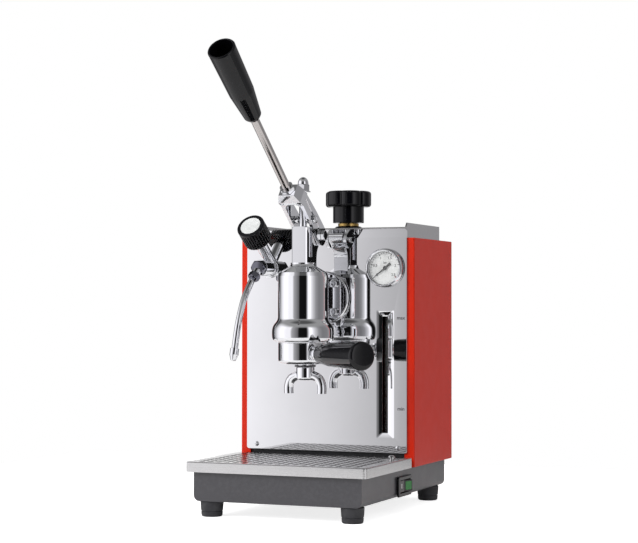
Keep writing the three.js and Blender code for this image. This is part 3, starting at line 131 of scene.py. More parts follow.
class Axis(Enum):
    """Extrusion direction, as the order in which an outline's numbers become X, Y and Z."""

    X = (2, 0, 1)
    Y = (0, 2, 1)
    Z = (0, 1, 2)


class Shape:
    """A mesh in machine millimetres that can be moved, joined, cut and bevelled.

    Args:
        bm: The mesh that the shape owns.
    """

    def __init__(self, bm: bmesh.types.BMesh) -> None:
        """Takes the mesh over."""
        self.bm = bm

    def moved(self, matrix: Matrix) -> "Shape":
        """Transforms the shape."""
        self.bm.transform(matrix)
        return self

    def at(self, x: float = 0, y: float = 0, z: float = 0) -> "Shape":
        """Moves the shape."""
        return self.moved(Matrix.Translation((x, y, z)))

    def facing(self, direction: Sequence[float]) -> "Shape":
        """Turns the shape's Z axis to a direction."""
        turn = Vector((0, 0, 1)).rotation_difference(Vector(direction))
        return self.moved(turn.to_matrix().to_4x4())

    def turned_z(self, angle: float) -> "Shape":
        """Turns the shape about Z."""
        return self.moved(Matrix.Rotation(angle, 4, "Z"))

    def beside(self, *others: "Shape") -> "Shape":
        """Puts other shapes into this mesh without cutting either.

        Args:
            others: The shapes to take in.

        Returns:
            The same shape.
        """
        for other in others:
            mesh = bpy.data.meshes.new("part")
            other.bm.to_mesh(mesh)
            self.bm.from_mesh(mesh)
            bpy.data.meshes.remove(mesh)
        return self

    def minus(self, *tools: "Shape") -> "Shape":
        """Cuts closed tools out of the shape."""
        return self._combined(tools, "DIFFERENCE")

    def plus(self, *others: "Shape") -> "Shape":
        """Joins closed shapes with this one into one skin."""
        return self._combined(others, "UNION")

    def common(self, other: "Shape") -> "Shape":
        """Keeps what this shape and another have in common."""
        return self._combined((other,), "INTERSECT")

    def bevelled(self, width: float, steps: int = 3, angle: float = 35) -> "Shape":
        """Rounds the sharp edges.

        Args:
            width: Size of the rounding.
            steps: Faces across it.
            angle: Least angle between faces, in degrees, for an edge to count as sharp.

        Returns:
            The same shape.
        """
        bmesh.ops.dissolve_limit(
            self.bm, angle_limit=math.radians(0.5), verts=self.bm.verts, edges=self.bm.edges
        )
        limit = math.radians(angle)
        sharp = [e for e in self.bm.edges if e.is_manifold and e.calc_face_angle(0) > limit]
        bmesh.ops.bevel(
            self.bm, geom=sharp, offset=width, segments=steps, profile=0.5, affect="EDGES", clamp_overlap=True
        )
        return self

    def remeshed(self, voxel: float, passes: int) -> "Shape":
        """Blends joined forms into one cast skin.

        Args:
            voxel: Size of the cells.
            passes: How often the skin is smoothed.

        Returns:
            The same shape.
        """
        holder = self._holder()
        blend = holder.modifiers.new("remesh", "REMESH")
        blend.mode = "VOXEL"
        blend.voxel_size = voxel
        smooth = holder.modifiers.new("smooth", "SMOOTH")
        smooth.factor = 0.5
        smooth.iterations = passes
        return self._taken(holder)

    def _holder(self) -> bpy.types.Object:
        """Puts the mesh on a scratch object.

        Returns:
            The object, which _taken removes.
        """
        bmesh.ops.recalc_face_normals(self.bm, faces=self.bm.faces)
        mesh = bpy.data.meshes.new("scratch")
        self.bm.to_mesh(mesh)
        return linked("scratch", mesh)

    def _taken(self, holder: bpy.types.Object) -> "Shape":
        """Takes a scratch object's mesh, modifiers applied, and removes the object.

        Args:
            holder: The scratch object.

        Returns:
            The same shape.
        """
        mesh = applied(holder)
        self.bm.clear()
        self.bm.from_mesh(mesh)
        bpy.data.meshes.remove(mesh)
        bpy.data.meshes.remove(holder.data)
        return self

    def _combined(self, others: Iterable["Shape"], operation: str) -> "Shape":
        """Runs a boolean operation.

        Args:
            others: The other shapes.
            operation: Blender's name of the operation.

        Returns:
            The same shape.
        """
        holder = self._holder()
        tools = [other._holder() for other in others]
        for tool in tools:
            modifier = holder.modifiers.new("boolean", "BOOLEAN")
            modifier.operation = operation
            modifier.solver = "EXACT"
            modifier.object = tool
        self._taken(holder)
        for tool in tools:
            bpy.data.meshes.remove(tool.data)
        return self


def soften(points: Sequence[Sequence[float]], closed: bool = False, steps: int = 6) -> list[Pair]:
    """Rounds the corners of a line of points.

    Args:
        points: Corners as (a, b) or (a, b, fillet radius).
        closed: Whether the last point joins the first.
        steps: Lines across a fillet.

    Returns:
        The points of the rounded line.
    """
    made: list[Pair] = []
    count = len(points)
    for i, point in enumerate(points):
        here = Vector(point[:2])
        radius = point[2] if len(point) > 2 else 0
        if radius <= 0 or (not closed and i in (0, count - 1)):
            made.append(tuple(here))
            continue
        back = Vector(points[i - 1][:2]) - here
        ahead = Vector(points[(i + 1) % count][:2]) - here
        half = back.angle(ahead) / 2
        if math.cos(half) < 1e-3:
            made.append(tuple(here))
            continue
        tangent = min(radius / math.tan(half), back.length * 0.49, ahead.length * 0.49)
        start = here + back.normalized() * tangent
        end = here + ahead.normalized() * tangent
        middle = here + (back.normalized() + ahead.normalized()).normalized() * tangent / math.cos(half)
        sweep = (start - middle).angle_signed(end - middle)
        for k in range(steps + 1):
            offset = start - middle
            offset.rotate(Matrix.Rotation(-sweep * k / steps, 2))
            made.append(tuple(middle + offset))
    return made


def arc(centre: Pair, radius: float, start: float, end: float, steps: int) -> list[Pair]:
    """Gives points on an arc.

    Args:
        centre: Its middle.
        radius: Its radius.
        start: First angle in degrees.
        end: Last angle in degrees.
        steps: Lines along it.

    Returns:
        The points from start to end.
    """
    turns = [math.radians(start + (end - start) * k / steps) for k in range(steps + 1)]
    return [(centre[0] + radius * math.cos(t), centre[1] + radius * math.sin(t)) for t in turns]


def quarter(steps: int) -> list[float]:
    """Gives the angles of a quarter turn.

    Args:
        steps: Lines along it.

    Returns:
        The angles from zero up, in radians.
    """
    return [math.pi / (2 * steps) * k for k in range(steps + 1)]


def rectangle(a: Pair, b: Pair, corners: Sequence[float] = (0.01,) * 4, steps: int = 6) -> list[Pair]:
    """Gives a rectangle with a radius at each corner.

    Args:
        a: Low and high value on the first axis.
        b: Low and high value on the second axis.
        corners: Radii from the low corner round to the high side's low end.
        steps: Lines across each corner.

    Returns:
        The outline.
    """
    places = ((a[0], b[0]), (a[1], b[0]), (a[1], b[1]), (a[0], b[1]))
    return soften([(*place, radius) for place, radius in zip(places, corners)], closed=True, steps=steps)


def ngon(radius: float, count: int, phase: float = 0) -> list[Pair]:
    """Gives a regular outline.

    Args:
        radius: Distance of the corners from the middle.
        count: How many corners.
        phase: Turn in radians.

    Returns:
        The outline.
    """
    turns = [phase + math.tau * k / count for k in range(count)]
    return [(radius * math.cos(t), radius * math.sin(t)) for t in turns]


def loft(loops: Sequence[Sequence[Triple]], capped: bool = True, closed: bool = False) -> Shape:
    """Skins loops that have the same number of points.

    Args:
        loops: The loops in order.
        capped: Whether the first and last loop are filled.
        closed: Whether the last loop joins the first.

    Returns:
        The skin.
    """
    bm = bmesh.new()
    rings = [[bm.verts.new(point) for point in loop] for loop in loops]
    pairs = list(zip(rings, rings[1:]))
    if closed:
        pairs.append((rings[-1], rings[0]))
    for low, high in pairs:
        for i in range(len(low)):
            k = (i + 1) % len(low)
            bm.faces.new((low[i], low[k], high[k], high[i]))
    if capped and not closed:
        bm.faces.new(rings[0][::-1])
        bm.faces.new(rings[-1])
    bmesh.ops.recalc_face_normals(bm, faces=bm.faces)
    return Shape(bm)


def prism(outline: Sequence[Pair], span: Pair, axis: Axis = Axis.Z) -> Shape:
    """Extrudes an outline.

    Args:
        outline: The outline, in the two other axes in their order.
        span: From where to where it runs.
        axis: Direction of the extrusion.

    Returns:
        The solid.
    """
    order = axis.value
    loops = [[tuple((a, b, c)[i] for i in order) for a, b in outline] for c in span]
    return loft(loops)


def block(x: Pair, y: Pair, z: Pair) -> Shape:
    """Makes a block between planes.

    Args:
        x: Low and high X.
        y: Low and high Y.
        z: Low and high Z.

    Returns:
        The solid.
    """
    return prism(((x[0], y[0]), (x[1], y[0]), (x[1], y[1]), (x[0], y[1])), z)


def lathe(profile: Sequence[Sequence[float]], count: int = ROUND, closed: bool = False) -> Shape:
    """Turns a profile about Z.

    Args:
        profile: Points as (radius, height) or (radius, height, fillet).
        count: Facets round the axis.
        closed: Whether the profile is a ring section.

    Returns:
        The turned shape.
    """
    bm = bmesh.new()
    rings = []
    for radius, height in soften(profile, closed):
        places = ngon(radius, count) if radius > 1e-4 else [(0.0, 0.0)]
        rings.append([bm.verts.new((x, y, height)) for x, y in places])
    pairs = list(zip(rings, rings[1:]))
    if closed:
        pairs.append((rings[-1], rings[0]))
    for low, high in pairs:
        for i in range(count):
            k = (i + 1) % count
            corners = [low[i % len(low)], low[k % len(low)], high[k % len(high)], high[i % len(high)]]
            corners = list(dict.fromkeys(corners))
            if len(corners) > 2:
                bm.faces.new(corners)
    bmesh.ops.recalc_face_normals(bm, faces=bm.faces)
    return Shape(bm)


def hexagon(corner: float, span: Pair, profile: Sequence[Sequence[float]]) -> Shape:
    """Makes a hexagon whose corners are turned off.

    Args:
        corner: Distance of its corners from the Z axis.
        span: From where to where it runs.
        profile: What it is turned to, as for lathe.

    Returns:
        The solid.
    """
    return prism(ngon(corner, 6), span).common(lathe(profile))


def bar(
    start: Sequence[float], end: Sequence[float], radius: float, count: int = SMALL, edge: float = 0
) -> Shape:
    """Makes a round bar between two points.

    Args:
        start: First end.
        end: Second end.
        radius: Its radius.
        count: Facets round it.
        edge: Fillet at both ends.

    Returns:
        The bar.
    """
    way = Vector(end) - Vector(start)
    profile = [(0, 0), (radius, 0, edge), (radius, way.length, edge), (0, way.length)]
    return lathe(profile, count).facing(way).at(*start)


def spline(points: Sequence[Sequence[float]], steps: int = 12) -> list[Vector]:
    """Runs a smooth curve through points that lie unevenly apart.

    Args:
        points: The points.
        steps: Lines between two of them.

    Returns:
        The curve's points.
    """
    knots = [Vector(point) for point in points]
    knots = [2 * knots[0] - knots[1], *knots, 2 * knots[-1] - knots[-2]]
    made = []
    for four in zip(knots, knots[1:], knots[2:], knots[3:]):
        marks = [0.0]
        for a, b in zip(four, four[1:]):
            marks.append(marks[-1] + math.sqrt((b - a).length))
        for k in range(steps):
            t = marks[1] + (marks[2] - marks[1]) * k / steps
            level = list(four)
            for ends in (((0, 1), (1, 2), (2, 3)), ((0, 2), (1, 3)), ((1, 2),)):
                level = [
                    level[i].lerp(level[i + 1], (t - marks[a]) / (marks[b] - marks[a]))
                    for i, (a, b) in enumerate(ends)
                ]
            made.append(level[0])
    return [*made, knots[-2]]


def tube(path: Sequence[Vector], radius: float, count: int = 32, bore: float = 0) -> Shape:
    """Carries a round section along a path.

    Args:
        path: The path's points.
        radius: Outer radius.
        count: Facets round it.
        bore: Radius of a hole, or zero for none.

    Returns:
        The tube.
    """
    side = (path[1] - path[0]).orthogonal().normalized()
    frames = []
    for i, point in enumerate(path):
        way = (path[min(i + 1, len(path) - 1)] - path[max(i - 1, 0)]).normalized()
        side = (side - way * side.dot(way)).normalized()
        frames.append((point, side, way.cross(side)))

    def loop(r: float) -> list[list[Triple]]:
        """Gives the section's points at every place of the path."""
        return [[tuple(p + a * x + b * y) for x, y in ngon(r, count)] for p, a, b in frames]

    if bore <= 0:
        return loft(loop(radius))
    return loft([*loop(radius), *reversed(loop(bore))], closed=True)


# Finishes


def srgb(red: int, green: int, blue: int) -> Colour:
    """Turns screen values into a linear colour.

    Args:
        red: Red from 0 to 255.
        green: Green from 0 to 255.
        blue: Blue from 0 to 255.

    Returns:
        The linear colour.
    """

    def channel(value: int) -> float:
        """Turns one screen value into light."""
        part = value / 255
        return part / 12.92 if part <= 0.04045 else ((part + 0.055) / 1.055) ** 2.4

    return channel(red), channel(green), channel(blue)


class Graph:
    """Adds and links nodes in one node tree.

    Args:
        tree: The tree.
    """

    def __init__(self, tree: bpy.types.NodeTree) -> None:
        """Keeps the tree that nodes are added to."""
        self.tree = tree

    def add(self, kind: str, **inputs: object) -> bpy.types.Node:
        """Adds a node and sets its inputs by name, or its own settings.

        Args:
            kind: Blender's node type.
            inputs: Values for sockets or settings. A socket is linked.

        Returns:
            The node.
        """
        node = self.tree.nodes.new(kind)
        for name, value in inputs.items():
            if hasattr(node, name):
                setattr(node, name, value)
        for name, value in inputs.items():
            if not hasattr(node, name):
                self.feed(node, name, value)
        return node

    def feed(self, node: bpy.types.Node, name: str, value: object) -> None:
        """Sets or links one input.

        Args:
            node: The node.
            name: The input's name, with underscores for spaces, or its number after an i.
            value: A plain value, or the socket to link.
        """
        key = int(name[1:]) if name[0] == "i" and name[1:].isdigit() else name.replace("_", " ")
        target = node.inputs[key]
        if isinstance(value, bpy.types.NodeSocket):
            self.tree.links.new(value, target)
        else:
            target.default_value = value

    def math(self, operation: str, a: object, b: object = 0.0, clamp: bool = False) -> bpy.types.NodeSocket:
        """Adds a sum, product or other operation on two values."""
        node = self.add("ShaderNodeMath", operation=operation, use_clamp=clamp, i0=a, i1=b)
        return node.outputs[0]

    def span(
        self, value: object, low: float, high: float, out_low: object, out_high: object
    ) -> bpy.types.NodeSocket:
        """Maps a value from one range to another, smoothly and clamped.

        Args:
            value: The value.
            low: Start of its range.
            high: End of its range.
            out_low: Result at the start.
            out_high: Result at the end.

        Returns:
            The result.
        """
        node = self.add(
            "ShaderNodeMapRange",
            interpolation_type="SMOOTHSTEP",
            Value=value,
            From_Min=low,
            From_Max=high,
            To_Min=out_low,
            To_Max=out_high,
        )
        return node.outputs["Result"]

    def tint(self, mask: object, a: object, b: object) -> bpy.types.NodeSocket:
        """Mixes two colours.

        Args:
            mask: Share of the second colour.
            a: First colour or socket.
            b: Second colour or socket.

        Returns:
            The colour.
        """
        node = self.add("ShaderNodeMix", data_type="RGBA", Factor=mask)
        for index, value in ((6, a), (7, b)):
            if isinstance(value, bpy.types.NodeSocket):
                self.tree.links.new(value, node.inputs[index])
            else:
                node.inputs[index].default_value = (*value, 1)
        return node.outputs[2]


class Effect(Enum):
    """Surface effects that several finishes share."""

    MOTTLE = "Mottle"
    GRAIN = "Grain"
    PEEL = "Peel"
    WEAR = "Edge wear"
    DUST = "Dust"
    SCRATCHES = "Scratches"


class EffectLibrary:
    """Makes each shared effect once, as a node group that gives masks, values and normals."""

    def __init__(self) -> None:
        """Starts with no group made."""
        self._groups: dict[Effect, bpy.types.NodeTree] = {}

    def use(self, graph: Graph, effect: Effect, **inputs: object) -> bpy.types.Node:
        """Puts an effect into a material.

        Args:
            graph: The material's graph.
            effect: Which effect.
            inputs: Values for the group's inputs.

        Returns:
            The group node.
        """
        if effect not in self._groups:
            self._groups[effect] = getattr(self, f"_{effect.name.lower()}")()
        node = graph.tree.nodes.new("ShaderNodeGroup")
        node.node_tree = self._groups[effect]
        for name, value in inputs.items():
            graph.feed(node, name, value)
        return node

    @staticmethod
    def _group(
        effect: Effect, inputs: dict[str, float], outputs: dict[str, str]
    ) -> tuple[Graph, bpy.types.Node, bpy.types.Node]:
        """Starts a group with its sockets.

        Args:
            effect: The effect that the group makes.
            inputs: Names and first values of its numbers.
            outputs: Names and socket types of its results.

        Returns:
            The graph, its input node and its output node.
        """
        tree = bpy.data.node_groups.new(effect.value, "ShaderNodeTree")
        for name, value in inputs.items():
            socket = tree.interface.new_socket(name=name, in_out="INPUT", socket_type="NodeSocketFloat")
            socket.default_value = value
        for name, kind in outputs.items():
            tree.interface.new_socket(name=name, in_out="OUTPUT", socket_type=kind)
        graph = Graph(tree)
        return graph, graph.add("NodeGroupInput"), graph.add("NodeGroupOutput")

    @staticmethod
    def _noise(graph: Graph, given: bpy.types.Node, detail: float, **mapping: Triple) -> bpy.types.NodeSocket:
        """Adds a noise in the object's own space, at the group's Scale.

        Args:
            graph: The group's graph.
            given: Its input node.
            detail: How many finer layers the noise has.
            mapping: Rotation and scale of the space, where it is turned or stretched.

        Returns:
            The noise's value.
        """
        place = graph.add("ShaderNodeTexCoord").outputs["Object"]
        if mapping:
            place = graph.add("ShaderNodeMapping", Vector=place, **mapping).outputs[0]
        noise = graph.add("ShaderNodeTexNoise", Vector=place, Scale=given.outputs["Scale"], Detail=detail)
        return noise.outputs[0]

    @staticmethod
    def _bump(graph: Graph, given: bpy.types.Node, height: object, rise: float) -> bpy.types.NodeSocket:
        """Turns a height into a normal, with the group's Strength."""
        strength = given.outputs["Strength"]
        return graph.add("ShaderNodeBump", Height=height, Strength=strength, Distance=rise).outputs[0]

    @staticmethod
    def _mask(graph: Graph, given: bpy.types.Node, result: bpy.types.Node, value: object) -> None:
        """Puts a value, times the group's Amount, out as its mask."""
        graph.feed(result, "Mask", graph.math("MULTIPLY", value, given.outputs["Amount"], clamp=True))

    def _mottle(self) -> bpy.types.NodeTree:
        """Makes soft blotches between two values.

        Returns:
            The group.
        """
        graph, given, result = self._group(
            Effect.MOTTLE, {"Scale": 60, "Low": 0, "High": 1}, {"Value": "NodeSocketFloat"}
        )
        noise = self._noise(graph, given, 5.0)
        value = graph.span(noise, 0.32, 0.68, given.outputs["Low"], given.outputs["High"])
        graph.feed(result, "Value", value)
        return graph.tree

    def _grain(self) -> bpy.types.NodeTree:
        """Makes the fine lines of brushed metal along X.

        Returns:
            The group.
        """
        graph, given, result = self._group(
            Effect.GRAIN,
            {"Scale": 900, "Strength": 0.1},
            {"Value": "NodeSocketFloat", "Normal": "NodeSocketVector"},
        )
        noise = self._noise(graph, given, 3.0, Scale=(0.02, 1, 1))
        graph.feed(result, "Value", noise)
        graph.feed(result, "Normal", self._bump(graph, given, noise, 0.0002))
        return graph.tree

    def _peel(self) -> bpy.types.NodeTree:
        """Makes the low waves of paint, plastic or polished plate.

        Returns:
            The group.
        """
        graph, given, result = self._group(
            Effect.PEEL, {"Scale": 700, "Strength": 0.1}, {"Normal": "NodeSocketVector"}
        )
        noise = self._noise(graph, given, 2.0)
        graph.feed(result, "Normal", self._bump(graph, given, noise, 0.0003))
        return graph.tree

    def _wear(self) -> bpy.types.NodeTree:
        """Finds the edges that hands and cloths rub.

        Returns:
            The group.
        """
        graph, given, result = self._group(
            Effect.WEAR, {"Scale": 220, "Amount": 0.6}, {"Mask": "NodeSocketFloat"}
        )
        edges = graph.span(graph.add("ShaderNodeNewGeometry").outputs["Pointiness"], 0.53, 0.62, 0.0, 1.0)
        patches = graph.span(self._noise(graph, given, 6.0), 0.4, 0.65, 0.0, 1.0)
        self._mask(graph, given, result, graph.math("MULTIPLY", edges, patches))
        return graph.tree

    def _dust(self) -> bpy.types.NodeTree:
        """Finds where fine dust lies on faces that look up.

        Returns:
            The group.
        """
        graph, given, result = self._group(
            Effect.DUST, {"Scale": 90, "Amount": 0.1}, {"Mask": "NodeSocketFloat"}
        )
        normal = graph.add("ShaderNodeNewGeometry").outputs["Normal"]
        up = graph.add("ShaderNodeSeparateXYZ", Vector=normal).outputs["Z"]
        level = graph.span(up, 0.5, 1.0, 0.0, 1.0)
        patches = graph.span(self._noise(graph, given, 7.0), 0.35, 0.7, 0.0, 1.0)
        self._mask(graph, given, result, graph.math("MULTIPLY", level, patches))
        return graph.tree

    def _scratches(self) -> bpy.types.NodeTree:
        """Makes sparse hairlines, as a mask.

        Returns:
            The group.
        """
        graph, given, result = self._group(
            Effect.SCRATCHES, {"Scale": 160, "Amount": 0.3}, {"Mask": "NodeSocketFloat"}
        )
        sets = []
        for turn, stretch in ((0.5, (1, 0.03, 1)), (-0.9, (0.04, 1, 1))):
            noise = self._noise(graph, given, 1.0, Rotation=(turn, turn, turn), Scale=stretch)
            off_line = graph.math("ABSOLUTE", graph.math("SUBTRACT", noise, 0.5))
            sets.append(graph.span(off_line, 0, 0.006, 1.0, 0.0))
        self._mask(graph, given, result, graph.math("MAXIMUM", *sets))
        return graph.tree


class Kit(Graph):
    """A material's graph with its main shader and the shared effects.

    Args:
        tree: The material's tree.
        effects: The shared effects.
    """

    def __init__(self, tree: bpy.types.NodeTree, effects: EffectLibrary) -> None:
        """Finds the main shader."""
        super().__init__(tree)
        self.shader = tree.nodes["Principled BSDF"]
        self.effects = effects

    def use(self, effect: Effect, **inputs: object) -> bpy.types.Node:
        """Puts a shared effect into the material, with values for its inputs."""
        return self.effects.use(self, effect, **inputs)

    def give(self, name: str, value: object) -> None:
        """Sets or links one input of the main shader."""
        self.feed(self.shader, name, value)


@dataclass(frozen=True)
class Finish(ABC):
    """One surface finish.

    Args:
        name: Name of the material.
        slot: The record's material slot; not used.
        colour: Main linear colour.
    """

    name: str
    slot: str
    colour: Colour

    def material(self, effects: EffectLibrary) -> bpy.types.Material:
        """Makes the finish's material.

        Args:
            effects: The shared effects.

        Returns:
            The material.
        """
        made = bpy.data.materials.new(self.name)
        made.use_nodes = True
        made.diffuse_color = (*self.colour, 1)
        self.dress(Kit(made.node_tree, effects))
        return made

    def shade(self, factor: float, lift: float = 0.0, limit: float = 1.0) -> Colour:
        """Gives the main colour made darker or lighter."""
        return tuple(min(limit, c * factor + lift) for c in self.colour)

    @abstractmethod
    def dress(self, kit: Kit) -> None:
        """Sets the shader's inputs."""


@dataclass(frozen=True)
class Polished(Finish):
    """Bright plated or polished metal.

    Args:
        smooth: Roughness of the clean parts.
        hazy: Roughness of the wiped parts.
        wave: Strength of the surface's low waves.
        wave_scale: How close the waves lie.
    """

    smooth: float = 0.02
    hazy: float = 0.05
    wave: float = 0.02
    wave_scale: float = 50

    def dress(self, kit: Kit) -> None:
        """Sets a mirror-like metal with faint haze, hairlines and dust.

        Args:
            kit: What the material is made with.
        """
        haze = kit.use(Effect.MOTTLE, Scale=45, Low=self.smooth, High=self.hazy)
        lines = kit.use(Effect.SCRATCHES, Scale=220, Amount=0.05)
        peel = kit.use(Effect.PEEL, Scale=self.wave_scale, Strength=self.wave)
        dust = kit.use(Effect.DUST, Scale=120, Amount=0.05)
        stain = kit.use(Effect.MOTTLE, Scale=18, Low=0.0, High=0.35)
        kit.give("Base_Color", kit.tint(stain.outputs[0], self.colour, self.shade(0.9)))
        rough = kit.math("ADD", haze.outputs[0], lines.outputs[0])
        kit.give("Roughness", kit.math("ADD", rough, dust.outputs[0], clamp=True))
        kit.give("Normal", peel.outputs[0])
        kit.give("Metallic", 1.0)


@dataclass(frozen=True)
class Brushed(Finish):
    """Satin metal with fine lines.

    Args:
        rough: Mean roughness.
        depth: Strength of the lines.
    """

    rough: float = 0.28
    depth: float = 0.25

    def dress(self, kit: Kit) -> None:
        """Sets a brushed metal with worn edges and dust.

        Args:
            kit: What the material is made with.
        """
        grain = kit.use(Effect.GRAIN, Scale=1400, Strength=self.depth)
        wear = kit.use(Effect.WEAR, Scale=300, Amount=0.3)
        dust = kit.use(Effect.DUST, Scale=150, Amount=0.08)
        lines = kit.tint(grain.outputs["Value"], self.shade(0.9), self.colour)
        kit.give("Base_Color", kit.tint(wear.outputs[0], lines, self.shade(1.15)))
        spread = kit.span(grain.outputs["Value"], 0.3, 0.7, self.rough * 0.85, self.rough * 1.15)
        kit.give("Roughness", kit.math("ADD", spread, dust.outputs[0], clamp=True))
        kit.give("Normal", grain.outputs["Normal"])
        kit.give("Metallic", 1.0)


@dataclass(frozen=True)
class Painted(Finish):
    """Paint or powder coat.

    Args:
        rough: Mean roughness.
        peel: Strength of the orange peel.
        peel_scale: How fine the peel is.
        sheen: Strength of the clear top layer.
        fleck: How much metal flake shows, from 0 to 1.
        shine: Strength of its reflections.
    """

    rough: float = 0.35
    peel: float = 0.15
    peel_scale: float = 900
    sheen: float = 0.2
    fleck: float = 0.0
    shine: float = 0.5

    def dress(self, kit: Kit) -> None:
        """Sets a paint with peel, faint flecks, rubbed edges and dust.

        Args:
            kit: What the material is made with.
        """
        tone = kit.use(Effect.MOTTLE, Scale=25, Low=0.0, High=0.4)
        body = kit.tint(tone.outputs[0], self.colour, self.shade(0.92))
        flake = kit.use(Effect.MOTTLE, Scale=2600, Low=-0.6, High=1.0)
        spark = kit.math("MULTIPLY", flake.outputs[0], self.fleck, clamp=True)
        body = kit.tint(spark, body, self.shade(1.9, 0.02))
        wear = kit.use(Effect.WEAR, Scale=260, Amount=0.35)
        kit.give("Base_Color", kit.tint(wear.outputs[0], body, self.shade(1.25, 0.02)))
        haze = kit.use(Effect.MOTTLE, Scale=70, Low=self.rough * 0.96, High=self.rough * 1.04)
        dust = kit.use(Effect.DUST, Scale=120, Amount=0.12)
        kit.give("Roughness", kit.math("ADD", haze.outputs[0], dust.outputs[0], clamp=True))
        peel = kit.use(Effect.PEEL, Scale=self.peel_scale, Strength=self.peel)
        kit.give("Normal", peel.outputs[0])
        kit.give("Coat_Weight", self.sheen)
        kit.give("Coat_Roughness", 0.2)
        kit.give("Specular_IOR_Level", self.shine)


@dataclass(frozen=True)
class Moulded(Finish):
    """Moulded plastic or rubber.

    Args:
        rough: Mean roughness.
        skin: Strength of the moulded texture.
        skin_scale: How fine it is.
        shine: Strength of its reflections.
        worn: How much its edges are rubbed and its top is dusty.
    """

    rough: float = 0.2
    skin: float = 0.06
    skin_scale: float = 500
    shine: float = 0.5
    worn: float = 0.4

    def dress(self, kit: Kit) -> None:
        """Sets a moulded surface with handling marks.

        Args:
            kit: What the material is made with.
        """
        tone = kit.use(Effect.MOTTLE, Scale=80, Low=0.0, High=1.0)
        wear = kit.use(Effect.WEAR, Scale=350, Amount=self.worn)
        body = kit.tint(tone.outputs[0], self.colour, self.shade(1.25, limit=2.0))
        kit.give("Base_Color", kit.tint(wear.outputs[0], body, self.shade(1.6, 0.01)))
        haze = kit.use(Effect.MOTTLE, Scale=110, Low=self.rough * 0.8, High=self.rough * 1.25)
        lines = kit.use(Effect.SCRATCHES, Scale=300, Amount=self.worn / 4)
        dust = kit.use(Effect.DUST, Scale=160, Amount=self.worn / 3)
        rough = kit.math("ADD", haze.outputs[0], lines.outputs[0])
        kit.give("Roughness", kit.math("ADD", rough, dust.outputs[0], clamp=True))
        peel = kit.use(Effect.PEEL, Scale=self.skin_scale, Strength=self.skin)
        kit.give("Normal", peel.outputs[0])
        kit.give("Specular_IOR_Level", self.shine)


@dataclass(frozen=True)
class Clear(Finish):
    """Clear glass, thin enough to bend no light.

    Args:
        veil: How much it hides what lies behind it.
    """

    veil: float = 0.07

    def dress(self, kit: Kit) -> None:
        """Sets clear glass with faint smears.

        Args:
            kit: What the material is made with.
        """
        smear = kit.use(Effect.MOTTLE, Scale=90, Low=0.0, High=0.04)
        tone = kit.use(Effect.MOTTLE, Scale=40, Low=0.0, High=0.2)
        kit.give("Base_Color", kit.tint(tone.outputs[0], self.colour, self.shade(0.97)))
        kit.give("Roughness", smear.outputs[0])
        kit.give("Alpha", self.veil)
        kit.give("IOR", 1.45)


class Look(Enum):
    """The finishes of the machine."""

    BASE_PAINT = Painted(
        "base_paint", "base_paint", srgb(50, 49, 53), rough=0.4, peel=0.25, sheen=0.35, fleck=0.5, shine=0.6
    )
    RUBBER = Moulded("foot_rubber", "rubber", srgb(44, 44, 47), rough=0.6, skin=0.2, skin_scale=1500)
    BLACK_STEEL = Painted("black_steel", "black_steel", srgb(34, 34, 36), rough=0.5, peel=0.2, sheen=0.1)
    RED_PAINT = Painted(
        "red_paint", "red_paint", srgb(206, 36, 4), rough=0.4, peel=0.06, sheen=0.07, shine=0.22
    )
    MIRROR = Polished(
        "mirror_steel", "mirror_steel", (0.87, 0.872, 0.88),
        smooth=0.006, hazy=0.02, wave=0.004, wave_scale=25,
    )
    STEEL = Brushed("satin_steel", "steel", (0.64, 0.635, 0.635), rough=0.2, depth=0.1)
    # Dark copy of the satin steel: painted shade on the walls inside the lid's holes.
    CUT_STEEL = Brushed("cut_steel", "steel", (0.14, 0.14, 0.145), rough=0.45)
    CHROME = Polished("chrome", "chrome", (0.82, 0.825, 0.845), smooth=0.015, hazy=0.04, wave=0.012)
    # Dark copy of chrome: painted dark reflection on the valve's cap nut and the pipe's joint nut.
    DARK_CHROME = Polished("dark_chrome", "chrome", (0.16, 0.16, 0.19), smooth=0.03, hazy=0.08, wave=0.02)
    # Dimmer, warmer copy of chrome for the lever rod: painted reflection of the darker, warm surroundings
    # that it mirrors.
    BARE_STEEL = Polished("bare_steel", "chrome", (0.56, 0.53, 0.515), smooth=0.05, hazy=0.09, wave=0.01)
    BRASS = Brushed("plain_brass", "brass", (0.62, 0.42, 0.14), rough=0.3)
    # Darker brass for the boiler: partly tarnish, partly painted shade for the dark inside of the housing
    # seen through the sight slot.
    AGED_BRASS = Brushed("aged_brass", "brass", srgb(92, 72, 40), rough=0.45)
    BLACK_PLASTIC = Moulded(
        "black_plastic", "black_plastic", srgb(8, 8, 11), rough=0.07, skin=0.02, shine=0.35, worn=0.08
    )
    WHITE_PLASTIC = Moulded("light_plastic", "white_plastic", srgb(236, 237, 235), rough=0.35)
    PALE_DISC = Moulded("pale_disc", "white_plastic", srgb(196, 198, 196), rough=0.3)
    GREEN_PLASTIC = Moulded("green_lens", "green_plastic", srgb(24, 116, 44), rough=0.18)
    GLASS = Clear("clear_glass", "glass", (0.97, 0.99, 0.99))
    SEAL = Moulded("seal_rubber", "seal", srgb(36, 36, 38), rough=0.5, skin=0.15)
    INK = Moulded("dark_ink", "black_plastic", srgb(24, 24, 28), rough=0.6, shine=0.15)
    RED_INK = Moulded("red_ink", "white_plastic", srgb(190, 40, 40), rough=0.5)


